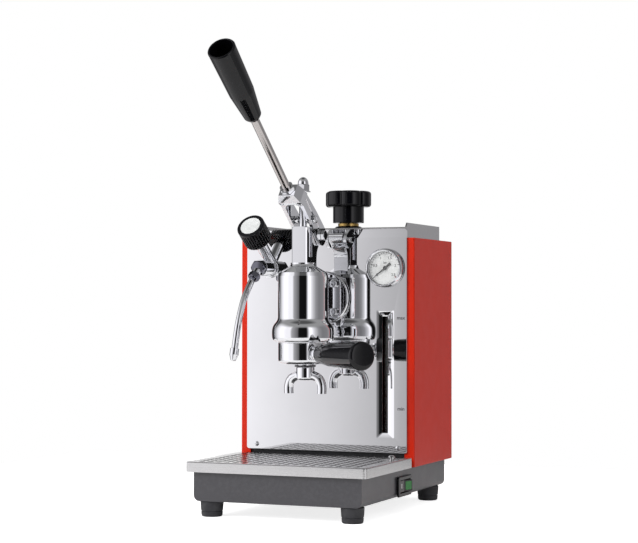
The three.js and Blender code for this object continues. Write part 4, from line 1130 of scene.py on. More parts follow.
class Bench:
    """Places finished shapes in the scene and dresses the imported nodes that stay.

    Args:
        datum: The machine's zero in the row frame.
    """

    def __init__(self, datum: Datum) -> None:
        """Starts with no material made."""
        self.matrix = datum.matrix()
        self.effects = EffectLibrary()
        self._materials: dict[Look, bpy.types.Material] = {}

    def material(self, look: Look) -> bpy.types.Material:
        """Gives a finish's material, made when first asked for.

        Args:
            look: The finish.

        Returns:
            The material.
        """
        if look not in self._materials:
            self._materials[look] = look.value.material(self.effects)
        return self._materials[look]

    def place(
        self, name: str, shape: Shape, body: str, look: Look, *nodes: str, sharp: float = 32
    ) -> bpy.types.Object:
        """Puts a shape into the scene on a body.

        Args:
            name: The piece's name.
            shape: Its shape.
            body: The body that it rides on.
            look: Its finish.
            nodes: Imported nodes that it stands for.
            sharp: Angle in degrees over which an edge stays sharp.

        Returns:
            The piece.
        """
        shape.moved(self.matrix)
        bmesh.ops.recalc_face_normals(shape.bm, faces=shape.bm.faces)
        mesh = bpy.data.meshes.new(name)
        shape.bm.to_mesh(mesh)
        shape.bm.free()
        mesh.shade_smooth()
        mesh.set_sharp_from_angle(angle=math.radians(sharp))
        mesh.materials.append(self.material(look))
        piece = linked(name, mesh)
        normals = piece.modifiers.new("normals", "WEIGHTED_NORMAL")
        normals.keep_sharp = True
        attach(piece, body)
        if nodes:
            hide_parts(*nodes)
        log.info("%s: %d faces on %s", name, len(mesh.polygons), body)
        return piece

    def paint_shade_in_holes(self, piece: bpy.types.Object, look: Look, margin: float, top: float) -> None:
        """Gives the upright faces inside a sheet's holes a second, darker finish: painted shade inside the
        holes.

        Args:
            piece: The sheet.
            look: The dark finish that paints shade on the holes' walls.
            margin: How far inside the sheet's outline the holes lie, in millimetres.
            top: Height of the sheet's upper face, in millimetres.
        """
        mesh = piece.data
        mesh.materials.append(self.material(look))
        xs, ys = ([v.co[axis] for v in mesh.vertices] for axis in (0, 1))
        inset = margin * MM
        for face in mesh.polygons:
            x, y, z = face.center
            inside = min(xs) + inset < x < max(xs) - inset and min(ys) + inset < y < max(ys) - inset
            if inside and abs(face.normal.z) < 0.3 and z < top * MM:
                face.material_index = 1
        count = sum(face.material_index for face in mesh.polygons)
        log.info("%s: %d faces in %s", piece.name, count, look.value.name)

    def dress(self, look: Look, *nodes: str) -> None:
        """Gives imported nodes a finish.

        Args:
            look: The finish.
            nodes: The nodes' names.
        """
        for name in nodes:
            node = frame["nodes"][name]
            node.data.materials.clear()
            node.data.materials.append(self.material(look))
            log.info("%s: packed node in %s", name, look.value.name)

    def lettering(self, text: str, size: float, depth: float, bold: float = 0) -> Shape:
        """Makes letters in the X-Z plane that face the front, centred on zero.

        Args:
            text: The words.
            size: Letter size.
            depth: Thickness.
            bold: How far each stroke grows on either side.

        Returns:
            The letters.
        """
        curve = bpy.data.curves.new("words", "FONT")
        curve.body = text
        curve.size = size
        curve.extrude = depth / 2
        curve.offset = bold
        curve.resolution_u = 4
        curve.align_x = "CENTER"
        curve.align_y = "CENTER"
        mesh = applied(linked("words", curve))
        bm = bmesh.new()
        bm.from_mesh(mesh)
        bpy.data.meshes.remove(mesh)
        bpy.data.curves.remove(curve)
        return Shape(bm).moved(Matrix.Rotation(math.pi / 2, 4, "X"))


# Assemblies


class Assembly(ABC):
    """One sub-assembly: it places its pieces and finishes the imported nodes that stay."""

    @abstractmethod
    def build(self, bench: Bench) -> None:
        """Places the pieces."""

    def dress(self, bench: Bench) -> None:
        """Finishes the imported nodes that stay."""


@dataclass(frozen=True)
class Base(Assembly):
    """Base pan on four rubber feet, with the dark deck and the cord gland.

    Args:
        half: Half of the pan's width.
        y: Front and back of the pan.
        z: Bottom and top of the pan.
        sheet: Thickness of its sheet.
        corner: Radius of its lower edges.
        switch: Middle Y and Z, then half sizes of the switch's cut-out.
        gland: X and Z of the cord gland, and the radius of its hole.
        foot_x: Distance of the feet from the middle.
        foot_y: Y of the front and back feet.
        foot_radius: Radius of a foot.
    """

    half: float = 91.8
    y: Pair = (-132.9, 125.2)
    z: Pair = (16.1, 45.5)
    sheet: float = 1.5
    corner: float = 6.0
    switch: Four = (-12.5, 27.5, 16.8, 7.8)
    gland: Triple = (-62.0, 31.0, 7.3)
    foot_x: float = 77.25
    foot_y: Pair = (-119.7, 110.2)
    foot_radius: float = 11.9

    def build(self, bench: Bench) -> None:
        """Places the pan, the feet and the gland.

        Args:
            bench: Where pieces are placed.
        """
        bench.place("base_shell", self._pan(), "machine", Look.BASE_PAINT, "base_pan")
        for side, x in (("left", -self.foot_x), ("right", self.foot_x)):
            for end, y in zip(("front", "back"), self.foot_y):
                foot = self._foot().at(x, y)
                bench.place(f"foot_{end}_{side}_rubber", foot, "machine", Look.RUBBER, f"foot_{end}_{side}")
        bench.place("cord_grommet", self._gland(), "machine", Look.BLACK_PLASTIC, "cord_gland")

    def dress(self, bench: Bench) -> None:
        """Finishes the deck."""
        bench.dress(Look.BLACK_STEEL, "deck_plate")

    def _pan(self) -> Shape:
        """Makes the folded pan, open above.

        Returns:
            The pan.
        """
        low, high = self.z
        outer = rectangle((-self.half, self.half), self.z, (self.corner, self.corner, SHARP, SHARP))
        inner = rectangle(
            (-self.half + self.sheet, self.half - self.sheet),
            (low + self.sheet, high + PAST),
            (self.corner - self.sheet, self.corner - self.sheet, SHARP, SHARP),
        )
        shell = prism(outer, self.y, Axis.Y).bevelled(0.7, 2, 60)
        hollow = prism(inner, (self.y[0] + self.sheet, self.y[1] - self.sheet), Axis.Y)
        y, z, half_y, half_z = self.switch
        window = block((self.half - 3, self.half + PAST), (y - half_y, y + half_y), (z - half_z, z + half_z))
        x, gland_z, radius = self.gland
        port = bar((x, self.y[1] - 3, gland_z), (x, self.y[1] + PAST, gland_z), radius)
        return shell.minus(hollow, window, port)

    def _foot(self) -> Shape:
        """Makes a foot with its screw recess and two shallow rings.

        Returns:
            The foot, centred on X and Y.
        """
        r, top = self.foot_radius, self.z[0] - FIT
        profile = [
            (0, 4), (4, 4, 0.4), (4, 0, 0.6), (r - 2, 0, 0.8), (r - 1.1, 1.4, 0.6), (r - 0.8, 5),
            (r - 1.2, 5.4), (r - 1.2, 5.9), (r - 0.6, 6.3), (r, top - 1.4, 0.5), (r, top, 0.4), (0, top),
        ]
        return lathe(profile, SMALL)

    def _gland(self) -> Shape:
        """Makes the ribbed grommet in the pan's back.

        Returns:
            The grommet.
        """
        x, z, _ = self.gland
        bore, back = 3.8, 11
        ribs = []
        for k in range(4):
            start, taper = 3.4 + k * 1.9, 0.35 * k
            ribs += [(6.9 - taper, start), (6.9 - taper, start + 1.1, 0.2), (6.1 - taper, start + 1.2)]
        profile = [
            (bore, -7), (7, -7), (7, 0), (9.5, 0, 0.3), (9.5, 2.5, 0.8), (6.4, 2.6), *ribs,
            (5.5, back, 0.4), (bore, back),
        ]
        return lathe(profile, SMALL, closed=True).facing((0, 1, 0)).at(x, self.y[1] + FIT, z)


@dataclass(frozen=True)
class Housing(Assembly):
    """Red sheet housing, open in front and above, with vents in its back.

    Args:
        half: Half of its width.
        depth: Distance from front to back.
        z: Bottom and top.
        sheet: Thickness of its sheet.
        strip: Width of the front strips.
        shelf: Width of the top flange.
        corners: Radius of the front and back corners.
        vents: Count, half width, height, pitch and distance of the first from the top.
    """

    half: float = 100.0
    depth: float = 131.9
    z: Pair = (45.8, 287.3)
    sheet: float = 2.0
    strip: float = 11.0
    shelf: float = 14.0
    corners: Pair = (1.5, 7.0)
    vents: tuple[int, float, float, float, float] = (7, 42.0, 4.0, 10.0, 30.0)

    def build(self, bench: Bench) -> None:
        """Places the housing.

        Args:
            bench: Where pieces are placed.
        """
        low, high = self.z
        front, back = self.corners
        outer = rectangle((-self.half, self.half), (0, self.depth), (front, front, back, back), 8)
        inside = back - self.sheet
        inner = rectangle(
            (-self.half + self.sheet, self.half - self.sheet),
            (self.sheet, self.depth - self.sheet),
            (SHARP, SHARP, inside, inside),
            8,
        )
        strip, shelf = self.half - self.strip, self.half - self.shelf
        count, half, height, pitch, drop = self.vents
        tools = [
            prism(inner, (low - PAST, high - self.sheet)),
            block((-strip, strip), (-PAST, self.sheet + PAST), (low - PAST, high + PAST)),
            block((-shelf, shelf), (-PAST, self.depth - self.shelf), (high - self.sheet - PAST, high + PAST)),
        ]
        for k in range(count):
            z = high - drop - k * pitch
            outline = rectangle((-half, half), (z - height / 2, z + height / 2), (height / 2 - 0.02,) * 4)
            tools.append(prism(outline, (self.depth - self.sheet - PAST, self.depth + PAST), Axis.Y))
        shell = prism(outer, self.z).bevelled(0.7, 3, 60).minus(*tools)
        bench.place("housing_shell", shell, "machine", Look.RED_PAINT, "red_housing")


@dataclass(frozen=True)
class Front(Assembly):
    """Mirror-polished front plate with its pressed recess, level words, screws and sight glass.

    Args:
        half: Half of its width.
        z: Bottom and top.
        y: Front and back face.
        corner: Radius of its corners.
        mouth: Left, right, bottom and top of the recess in the plate's face.
        slot: Left, right, bottom and top of the slot in the recess's floor.
        depth: Depth of the recess.
        metal: Thickness of the pressed metal.
        seam: Height, width and depth of the line under the upper edge, and how far that edge leans back.
        bores: X, Z and radius of each round hole.
        screws: X of the two screws.
        screw_z: Height of the screws.
        words: X and Z of the upper and lower level word.
        letters: Size of the words, their thickness and how far each stroke grows.
        sight: X, Y, outer radius and bore of the glass tube.
        sight_z: Bottom and top of the tube.
    """

    half: float = 92.4
    z: Pair = (60.0, 296.8)
    y: Pair = (-2.3, -0.3)
    corner: float = 3.0
    mouth: Four = (58.1, 78.4, 75.4, 211.2)
    slot: Four = (64.3, 70.9, 81.0, 204.3)
    depth: float = 1.4
    metal: float = 1.5
    seam: Four = (287.3, 0.5, 0.5, 0.5)
    bores: tuple[Triple, ...] = (
        (0, 224, 13.3), (68.5, 255.4, 19.2), (-65, 256, 6.3), (-80.6, 65.5, 2.0), (82.5, 65.5, 2.0),
        (-12.6, 208.9, 2.5), (12.6, 208.9, 2.5), (-12.6, 239.1, 2.5), (12.6, 239.1, 2.5),
    )
    screws: Pair = (-80.6, 82.5)
    screw_z: float = 65.5
    words: tuple[Pair, Pair] = ((85.8, 202.6), (85.9, 106.9))
    letters: Triple = (5.4, 0.1, 0.04)
    sight: Four = (67.6, 10.5, 5.0, 3.6)
    sight_z: Pair = (74.0, 212.0)

    def build(self, bench: Bench) -> None:
        """Places the plate, words, screws and tube.

        Args:
            bench: Where pieces are placed.
        """
        bench.place("mirror_front", self._plate(), "machine", Look.MIRROR, "front_plate", sharp=28)
        for text, (x, z) in zip(("max", "min"), self.words):
            word = bench.lettering(text, *self.letters).at(x, self.y[0] - self.letters[1] / 2, z)
            bench.place(f"word_{text}", word, "machine", Look.INK)
        for side, x in zip(("left", "right"), self.screws):
            screw = self._screw().at(x, self.y[0] - FIT, self.screw_z)
            bench.place(f"panel_screw_{side}", screw, "machine", Look.CHROME, f"plate_screw_{side}")
        x, y, outer, bore = self.sight
        low, high = self.sight_z
        wall = [(bore, low, 0.3), (outer, low, 0.5), (outer, high, 0.5), (bore, high, 0.3)]
        tube_shape = lathe(wall, SMALL, closed=True).at(x, y)
        bench.place("level_tube", tube_shape, "machine", Look.GLASS, "sight_tube")

    def _plate(self) -> Shape:
        """Makes the plate with its recess and holes.

        Returns:
            The plate.
        """
        front, back = self.y
        edge = [(0.6, front), (0.25, front + 0.08), (0.06, front + 0.3), (0, front + 0.7), (0, back)]
        blank = loft([self._loop(inset, y, self.corner) for inset, y in edge])
        steps, bend = 8, 1.4
        fall = [(k / steps, self.depth * (k / steps) ** bend) for k in range(steps + 1)]
        pressed = loft([self._ring(f, front + y + self.metal, self.metal) for f, y in fall])
        hollow = loft([self._ring(f, front + y, 0) for f, y in ((-0.1, -0.05), *fall)])
        left, right, bottom, top = self.slot
        floor = front + self.depth
        outline = rectangle((left, right), (bottom, top), (0.8,) * 4)
        opening = prism(outline, (floor - PAST, floor + self.metal + PAST), Axis.Y)
        near, far = front - PAST, back + PAST
        holes = [bar((x, near, z), (x, far, z), radius) for x, z, radius in self.bores]
        seam, width, deep, lean = self.seam
        over = self.z[1] + 0.5
        wedge = [
            (near, seam), (front + deep, seam), (front + deep, seam + width), (front + 0.02, seam + width),
            (front + lean, over), (near, over),
        ]
        fold = prism(wedge, (-self.half - PAST, self.half + PAST), Axis.X)
        return blank.plus(pressed).minus(hollow, opening, fold, *holes)

    def _loop(self, inset: float, y: float, corner: float) -> list[Triple]:
        """Gives the plate's outline at one depth.

        Args:
            inset: How far it lies inside the full outline.
            y: Its Y.
            corner: Its corner radius.

        Returns:
            The loop.
        """
        low, high = self.z
        outline = rectangle(
            (-self.half + inset, self.half - inset), (low + inset, high - inset), (corner - inset,) * 4
        )
        return [(x, y, z) for x, z in outline]

    def _ring(self, share: float, y: float, grow: float) -> list[Triple]:
        """Gives the recess's outline at one depth.

        Args:
            share: 0 at the mouth and 1 at the slot.
            y: Its Y.
            grow: How far it lies outside the hollow.

        Returns:
            The loop.
        """
        left, right, bottom, top = (m + (s - m) * share for m, s in zip(self.mouth, self.slot))
        outline = rectangle(
            (left - grow, right + grow), (bottom - grow, top + grow), (1.0 + 0.4 * (1 - share) + grow,) * 4
        )
        return [(x, y, z) for x, z in outline]

    @staticmethod
    def _screw() -> Shape:
        """Makes a round-head screw with a cross recess, its head's seat at Y = 0.

        Returns:
            The screw.
        """
        head, height, shank, length = 2.6, 1.3, 1.7, 9.0
        profile = [(0, height), *arc((0, 0), head, 84, 0, 8)]
        profile = [(r, min(z, height) * (1 - 0.25 * (r / head) ** 2)) for r, z in profile]
        body = lathe([*profile, (shank, 0), (shank, -length), (0, -length)], SMALL)
        arm, half, deep = 1.5, 0.28, 0.8
        span = (height - deep, height + PAST)
        cross = [block((-a, a), (-b, b), span) for a, b in ((arm, half), (half, arm))]
        return body.minus(*cross).facing((0, -1, 0))


@dataclass(frozen=True)
class CupCover(Assembly):
    """Steel cup cover with raised side and back edges.

    Args:
        half: Half of its width.
        y: Front and back of its skirt.
        z: Bottom and rim.
        deck: Bottom and top of its flat deck.
        lip: Y of the deck's front edge, over the plate.
        sheet: Thickness of its sheet.
        corners: Radius of the back corners, outside and inside.
        slope: Length of the bevel at the front of the side edges.
        neck: Y and radius of the hole for the filler neck.
    """

    half: float = 90.0
    y: Pair = (0.3, 121.0)
    z: Pair = (287.6, 303.5)
    deck: Pair = (297.1, 298.6)
    lip: float = -2.3
    sheet: float = 1.5
    corners: Pair = (10.0, 8.5)
    slope: float = 5.0
    neck: Pair = (65.0, 12.3)

    def build(self, bench: Bench) -> None:
        """Places the cover.

        Args:
            bench: Where pieces are placed.
        """
        front, back = self.y
        outside, inside = self.corners
        outer = rectangle((-self.half, self.half), self.y, (SHARP, SHARP, outside, outside), 8)
        inner = rectangle(
            (-self.half + self.sheet, self.half - self.sheet),
            (front + self.sheet, back - self.sheet),
            (SHARP, SHARP, inside, inside),
            8,
        )
        step, rim = self.deck[1], self.z[1]
        inside_y = front + self.sheet
        gap = [
            (front - PAST, step), (inside_y + PAST, step), (inside_y + self.slope, rim),
            (inside_y + self.slope, rim + PAST), (front - PAST, rim + PAST),
        ]
        walls = prism(outer, self.z).bevelled(0.5, 3, 60)
        walls.minus(
            prism(inner, (self.z[0] - PAST, self.deck[0])),
            prism(inner, (step, rim + PAST)),
            prism(gap, (-self.half - PAST, self.half + PAST), Axis.X),
        )
        under = self.deck[0]
        roll = [
            (self.lip + 0.02, under), (front + 3, under), (front + 3, step),
            (self.lip + 0.75, step, 0.6), (self.lip, step - 0.75, 0.6),
        ]
        edge = prism(soften(roll, closed=True), (-self.half, self.half), Axis.X)
        y, radius = self.neck
        hole = bar((0, y, under - PAST), (0, y, step + PAST), radius)
        bench.place("cup_tray_cover", walls.plus(edge).minus(hole), "machine", Look.STEEL, "cup_cover")


@dataclass(frozen=True)
class BoilerTop(Assembly):
    """Collar on the cover and the cap on the filler neck, over the boiler.

    Args:
        y: Y of the boiler's axis.
        bore: Radius inside the collar.
        collar: Skirt and lip radius, bottom and top of the collar.
        plug: Radius of the brass flange, its bottom and its height.
        thread: Radius and depth of the thread below it.
        neck: Radius, bottom and top of the knob's neck.
        head: Middle radius, bottom and top of the lobed head.
        lobes: How many lobes.
        depth: Depth of the notches between them.
    """

    y: float = 65.0
    bore: float = 12.3
    collar: Four = (17.5, 14.2, 298.9, 303.1)
    plug: Triple = (11.5, 303.4, 3.3)
    thread: Pair = (8.5, 14.0)
    neck: Triple = (17.2, 307.0, 324.4)
    head: Triple = (25.7, 324.4, 342.2)
    lobes: int = 6
    depth: float = 3.2

    def build(self, bench: Bench) -> None:
        """Places the collar, plug and knob.

        Args:
            bench: Where pieces are placed.
        """
        skirt, lip, low, high = self.collar
        bore = self.bore
        wall = [(bore, low), (skirt, low), (skirt, low + 0.9, 0.3), (lip, high, 0.7), (bore, high, 0.3)]
        ring = lathe(wall, closed=True)
        bench.place("neck_collar", ring.at(0, self.y), "machine", Look.CHROME, "boiler_collar")
        bench.place("brass_plug", self._plug().at(0, self.y), "boiler_cap", Look.BRASS, "cap_plug")
        bench.place("lobed_knob", self._knob().at(0, self.y), "boiler_cap", Look.BLACK_PLASTIC, "cap_knob")

    def dress(self, bench: Bench) -> None:
        """Finishes the boiler, its heater and its stand.

        Args:
            bench: Where finishes come from.
        """
        # The boiler's darker brass is partly tarnish and partly painted shade inside the housing.
        bench.dress(Look.AGED_BRASS, "boiler")
        bench.dress(Look.STEEL, "heating_element")
        bench.dress(Look.BLACK_STEEL, "boiler_stand")

    def _plug(self) -> Shape:
        """Makes the threaded plug.

        Returns:
            The plug, on the Z axis.
        """
        radius, low, height = self.plug
        root, depth = self.thread
        pitch, core = 1.5, root - 0.8
        turns = []
        for k in range(int(depth / pitch)):
            z = low - depth + 0.6 + k * pitch
            turns += [(core, z), (root, z + 0.6), (core, z + 1.2)]
        profile = [
            (0, low - depth), (core, low - depth), *turns, (core, low), (radius, low, 0.3),
            (radius, low + height, 0.5), (0, low + height),
        ]
        return lathe(profile, SMALL)

    def _knob(self) -> Shape:
        """Makes the knob: a plain neck and a head with flat-faced lobes.

        Returns:
            The knob, on the Z axis.
        """
        count = 180
        middle, low, high = self.head

        def outline(inset: float, z: float) -> list[Triple]:
            """Gives the head's outline at one height.

            Args:
                inset: How far it lies inside the full outline.
                z: Its height.

            Returns:
                The loop.
            """
            loop = []
            for k in range(count):
                turn = math.tau * k / count
                notch = (1 - abs(math.cos(self.lobes / 2 * turn))) ** 1.8
                radius = middle - self.depth * notch - inset
                loop.append((radius * math.cos(turn), radius * math.sin(turn), z))
            return loop

        fillet = 3.4
        edge = [(fillet * (1 - math.sin(t)), fillet * (1 - math.cos(t))) for t in quarter(10)]
        neck, bottom, top = self.neck
        rise = [outline(i, low + z) for i, z in edge]
        head = loft(rise + [outline(i, high - z) for i, z in reversed(edge)])
        stem = lathe([(0, bottom), (neck, bottom, 0.8), (neck, top + 3), (0, top + 3)])
        return head.plus(stem)


@dataclass(frozen=True)
class Gauge(Assembly):
    """Pressure gauge: chrome case, printed dial, pointer and glass.

    Args:
        x: X of its axis.
        z: Height of its axis.
        case: Bezel radius, lip radius, bore and body radius.
        front: Distance of the bezel's face before the machine's zero.
        seat: Distance of the plate's face before the machine's zero, gap included.
        back: Distance of the case's back behind it, and of the floor inside.
        dial: Distance of the dial's face, and the dial's radius.
        glass: Distance of the glass's face, and its thickness.
        zero: Angle of the dial's zero from upright, in degrees.
        sweep: Angle between two numbers, in degrees.
        numbers: The numbers printed.
        digits: Distance of the numbers from the middle, and their size.
        unit: Height of the unit over the middle, and its size.
        ink: Thickness of the print, and how far each stroke of a number and of the unit grows.
        ticks: Where a long and a short tick start, where both end, and the width of each.
        limit: Start and end of the red mark, its angle past the last number and its width.
        pointer: Length of the pointer and of its tail.
    """

    x: float = 68.5
    z: float = 255.4
    case: Four = (20.8, 17.6, 18.4, 18.9)
    front: float = 8.6
    seat: float = 2.6
    back: Pair = (22.0, 18.0)
    dial: Pair = (3.0, 18.1)
    glass: Pair = (7.5, 1.0)
    zero: float = -128.0
    sweep: float = 51.2
    numbers: tuple[str, ...] = ("0", "0.5", "1", "1.5", "2", "2.5")
    digits: Pair = (11.6, 3.9)
    unit: Pair = (5.6, 3.2)
    ink: Triple = (0.06, 0.06, 0.05)
    ticks: Five = (14.2, 15.2, 16.8, 0.7, 0.4)
    limit: Four = (13.9, 16.9, 2.4, 0.6)
    pointer: Pair = (13.6, 7.8)

    def build(self, bench: Bench) -> None:
        """Places the case, dial, print, pointer and glass.

        Args:
            bench: Where pieces are placed.
        """
        bezel, lip, bore, body = self.case
        back, floor = self.back
        front = self.front
        case = lathe([
            (0, -back), (body, -back, 1), (body, self.seat), (bezel, self.seat, 0.4), (bezel, front - 2.4, 2),
            (bezel - 1.1, front - 0.4, 1.1), (bezel - 2.2, front, 0.6), (lip, front - 0.4, 0.5),
            (lip - 0.2, front - 0.8), (bore, front - 0.8), (bore, -floor), (0, -floor),
        ])
        bench.place("gauge_bezel", self._set(case), "machine", Look.CHROME, "gauge_case")
        face, radius = self.dial
        disc = lathe([(0, face - 1), (radius, face - 1), (radius, face, 0.2), (0, face)])
        bench.place("dial_face", self._set(disc), "machine", Look.WHITE_PLASTIC, "gauge_dial")
        bench.place("dial_ticks", self._set(self._ticks()), "machine", Look.INK)
        self._print(bench)
        bench.place("dial_pointer", self._set(self._needle()), "needle", Look.BLACK_PLASTIC, "gauge_needle")
        outer, thickness = self.glass
        pane = lathe([(0, outer - thickness), (radius, outer - thickness), (radius, outer), (0, outer)])
        bench.place("gauge_window", self._set(pane), "machine", Look.GLASS, "gauge_glass")

    def _set(self, shape: Shape) -> Shape:
        """Puts a shape drawn with the dial facing up into the gauge's place."""
        return shape.facing((0, -1, 0)).at(self.x, 0, self.z)

    def _spot(self, radius: float, degrees: float) -> Pair:
        """Gives a place on the dial."""
        turn = math.radians(degrees)
        return radius * math.sin(turn), radius * math.cos(turn)

    def _stroke(self, radii: Pair, degrees: float, width: float) -> Shape:
        """Makes one radial mark on the dial.

        Args:
            radii: Where it starts and ends.
            degrees: Its angle clockwise from upright.
            width: Its width.

        Returns:
            The mark.
        """
        half, (low, high) = width / 2, radii
        face = self.dial[0]
        mark = prism(((-half, low), (half, low), (half, high), (-half, high)), (face, face + self.ink[0]))
        return mark.turned_z(-math.radians(degrees))

    def _ticks(self) -> Shape:
        """Makes the scale: a long mark at each number and four short ones between.

        Returns:
            The marks as one shape.
        """
        marks = []
        steps = 5
        start, short, end, wide, thin = self.ticks
        for k in range((len(self.numbers) - 1) * steps + 1):
            degrees = self.zero + self.sweep * k / steps
            long = k % steps == 0
            marks.append(self._stroke((start if long else short, end), degrees, wide if long else thin))
        return marks[0].beside(*marks[1:])

    def _print(self, bench: Bench) -> None:
        """Prints the numbers, the unit and the red end mark.

        Args:
            bench: Where pieces are placed.
        """
        thick, grow, unit_grow = self.ink
        y = -self.dial[0] - thick / 2
        distance, size = self.digits
        for k, number in enumerate(self.numbers):
            x, z = self._spot(distance, self.zero + self.sweep * k)
            digits = bench.lettering(number, size, thick, grow).at(self.x + x, y, self.z + z)
            bench.place(f"dial_number_{k}", digits, "machine", Look.INK)
        rise, size = self.unit
        unit = bench.lettering("bar", size, thick, unit_grow).at(self.x, y, self.z + rise)
        bench.place("dial_unit", unit, "machine", Look.INK)
        last = self.zero + self.sweep * (len(self.numbers) - 1)
        start, end, past, width = self.limit
        limit = self._stroke((start, end), last + past, width)
        bench.place("dial_limit", self._set(limit), "machine", Look.RED_INK)

    def _needle(self) -> Shape:
        """Makes the pointer with its broad tail and round hub.

        Returns:
            The pointer, turned to zero.
        """
        length, tail = self.pointer
        face = self.dial[0]
        outline = soften([
            (-0.35, length), (-0.75, 0), (-1.1, -tail * 0.45), (-1.5, -tail, 0.5), (1.5, -tail, 0.5),
            (1.1, -tail * 0.45), (0.75, 0), (0.35, length),
        ], closed=True)
        blade = prism(outline, (face + 0.9, face + 1.5))
        low, high = face + FIT, face + 2.1
        hub = lathe([(0, low), (1.9, low), (2.2, face + 0.9), (2.2, high, 0.5), (0, high)], SMALL)
        return blade.plus(hub).turned_z(-math.radians(self.zero))


@dataclass(frozen=True)
class Group(Assembly):
    """Group cylinder with its bayonet ring, its flange screws and the head with the fulcrum post.

    Args:
        y: Y of the group's axis.
        radius: Outer radius of the cylinder.
        bore: Radius inside it.
        top: Top of the cylinder.
        ring: Radius and bottom of the bayonet ring.
        shoulder: Radius and height of points on the ring's outside, from its bottom up.
        brim: Height where the cylinder's upper edge turns in, and its radius at the top.
        seat: Height of the gasket's seat.
        groove: Radius, bottom and top of the bayonet groove.
        flange_z: Height of the flange's middle.
        flange: Radius, front and back of the flange.
        screws: Distances of the screws from the flange's middle.
        drill: Radius of the screws' holes.
        web: Half width, bottom, top and corner radius of the web between cylinder and flange.
        spigot: Radius and back of the spigot behind the flange.
        arrow: Half width, tip, angle and inner radius of the arrow notch.
        entry: Angle and half width of the bayonet's entries.
        thread: Radius and height of the head's thread in the cylinder.
        cone: Radius and height where the head's cone ends, and where the neck begins.
        neck: Radius and top of the guide neck, half width across its flats, half width of its slot and
            the slot's bottom.
        flat: Distance of the neck's front flat from the axis, and the height where it begins.
        post: Half width and front of the post.
        spine: Y and height of points on the post's back, from its foot up.
        pin_slot: Front, back, height and half height of the fulcrum bolt's slot.
    """

    y: float = -64.0
    radius: float = 26.4
    bore: float = 24.5
    top: float = 249.4
    ring: Pair = (32.5, 177.7)
    shoulder: tuple[Pair, ...] = (
        (28.4, 177.7), (30.7, 178.8), (32.1, 181.3), (32.5, 184.4), (32.5, 189.6), (31.9, 193.0),
        (30.2, 196.6), (28.1, 199.4), (26.8, 201.6), (26.4, 203.8),
    )
    brim: Pair = (246.0, 25.4)
    seat: float = 194.7
    groove: Triple = (30.5, 180.2, 184.6)
    flange_z: float = 224.0
    flange: Triple = (28.3, -8.0, -2.6)
    screws: Pair = (12.6, 15.1)
    drill: float = 2.5
    web: Four = (8.2, 200.0, 246.0, 6.0)
    spigot: Pair = (13.0, 2.0)
    arrow: Four = (5.5, 185.2, 51.0, 29.0)
    entry: Pair = (97.0, 10.5)
    thread: Pair = (24.2, 3.4)
    cone: Triple = (14.2, 256.2, 258.6)
    neck: Five = (12.9, 297.3, 8.5, 4.5, 266.0)
    flat: Pair = (11.0, 260.0)
    post: Pair = (8.2, -56.0)
    spine: tuple[Pair, ...] = (
        (-44.0, 249.7), (-46.3, 252.6), (-47.0, 258.0), (-46.9, 264.0), (-45.4, 272.0), (-40.4, 279.0),
        (-33.6, 284.0), (-30.6, 287.5), (-30.0, 291.0),
    )
    pin_slot: Four = (-45.9, -36.8, 289.6, 4.1)

    def build(self, bench: Bench) -> None:
        """Places the cylinder, the screws and the head.

        Args:
            bench: Where pieces are placed.
        """
        bench.place("group_cylinder", self._cylinder(), "machine", Look.CHROME, "group_body")
        for k, (x, z) in enumerate(self._places(), 1):
            screw = self._screw().at(x, self.flange[1] - FIT, z)
            bench.place(f"socket_screw_{k}", screw, "machine", Look.CHROME, f"flange_screw_{k}")
        bench.place("guide_and_post", self._head(), "machine", Look.CHROME, "guide_head")

    def dress(self, bench: Bench) -> None:
        """Finishes the gasket and the screen."""
        bench.dress(Look.SEAL, "group_gasket")
        bench.dress(Look.STEEL, "shower_screen")

    def _places(self) -> list[Pair]:
        """Gives X and Z of the four flange screws."""
        dx, dz = self.screws
        return [(x, self.flange_z + z) for x in (-dx, dx) for z in (-dz, dz)]

    def _cylinder(self) -> Shape:
        """Makes the cylinder with its ring, web and flange.

        Returns:
            The cylinder.
        """
        outer, low = self.ring
        mouth = 27.0
        groove, floor, roof = self.groove
        turn, edge = self.brim
        skin = [tuple(point) for point in spline(self.shoulder, 5)]
        barrel = lathe([
            (mouth, low, 0.4), *skin, (self.radius, turn, 1.6), (edge, self.top),
            (self.bore, self.top), (self.bore, self.seat), (mouth, self.seat), (mouth, roof), (groove, roof),
            (groove, floor), (mouth, floor),
        ], FINE, closed=True).at(0, self.y)
        radius, front, back = self.flange
        half, bottom, top, corner = self.web
        outline = rectangle((-half, half), (bottom, top), (corner,) * 4)
        web = prism(outline, (self.y + self.bore + 1, front + 1), Axis.Y)
        disc = lathe([(0, 0), (radius, 0, 0.4), (radius, back - front, 1.6), (0, back - front)])
        disc.facing((0, -1, 0)).at(0, back, self.flange_z)
        width, end = self.spigot
        spigot = bar((0, front, self.flange_z), (0, end, self.flange_z), width)
        half, tip, angle, inner = self.arrow
        notch = prism(((-half, low - PAST), (half, low - PAST), (0, tip)), (-outer - PAST, -inner), Axis.Y)
        notch.turned_z(math.radians(angle)).at(0, self.y)
        angle, half = self.entry
        entries = [
            block((-half, half), (-groove, -self.bore), (low - PAST, floor + PAST))
            .turned_z(math.radians(angle + turn))
            .at(0, self.y)
            for turn in (0, 180)
        ]
        drills = [bar((x, front - PAST, z), (x, back + PAST, z), self.drill) for x, z in self._places()]
        return barrel.plus(web, disc, spigot).minus(notch, *entries, *drills)

    @staticmethod
    def _screw() -> Shape:
        """Makes a socket-head screw, its head's seat at Y = 0.

        Returns:
            The screw.
        """
        head, height, shank = 4.2, 4.6, 2.2
        tip = -13.4
        profile = [(0, height), (head, height, 0.7), (head, 0, 0.2), (shank, 0), (shank, tip), (0, tip)]
        body = lathe(profile, SMALL)
        socket = prism(ngon(2.2, 6), (height - 2.4, height + PAST))
        return body.minus(socket).facing((0, -1, 0))

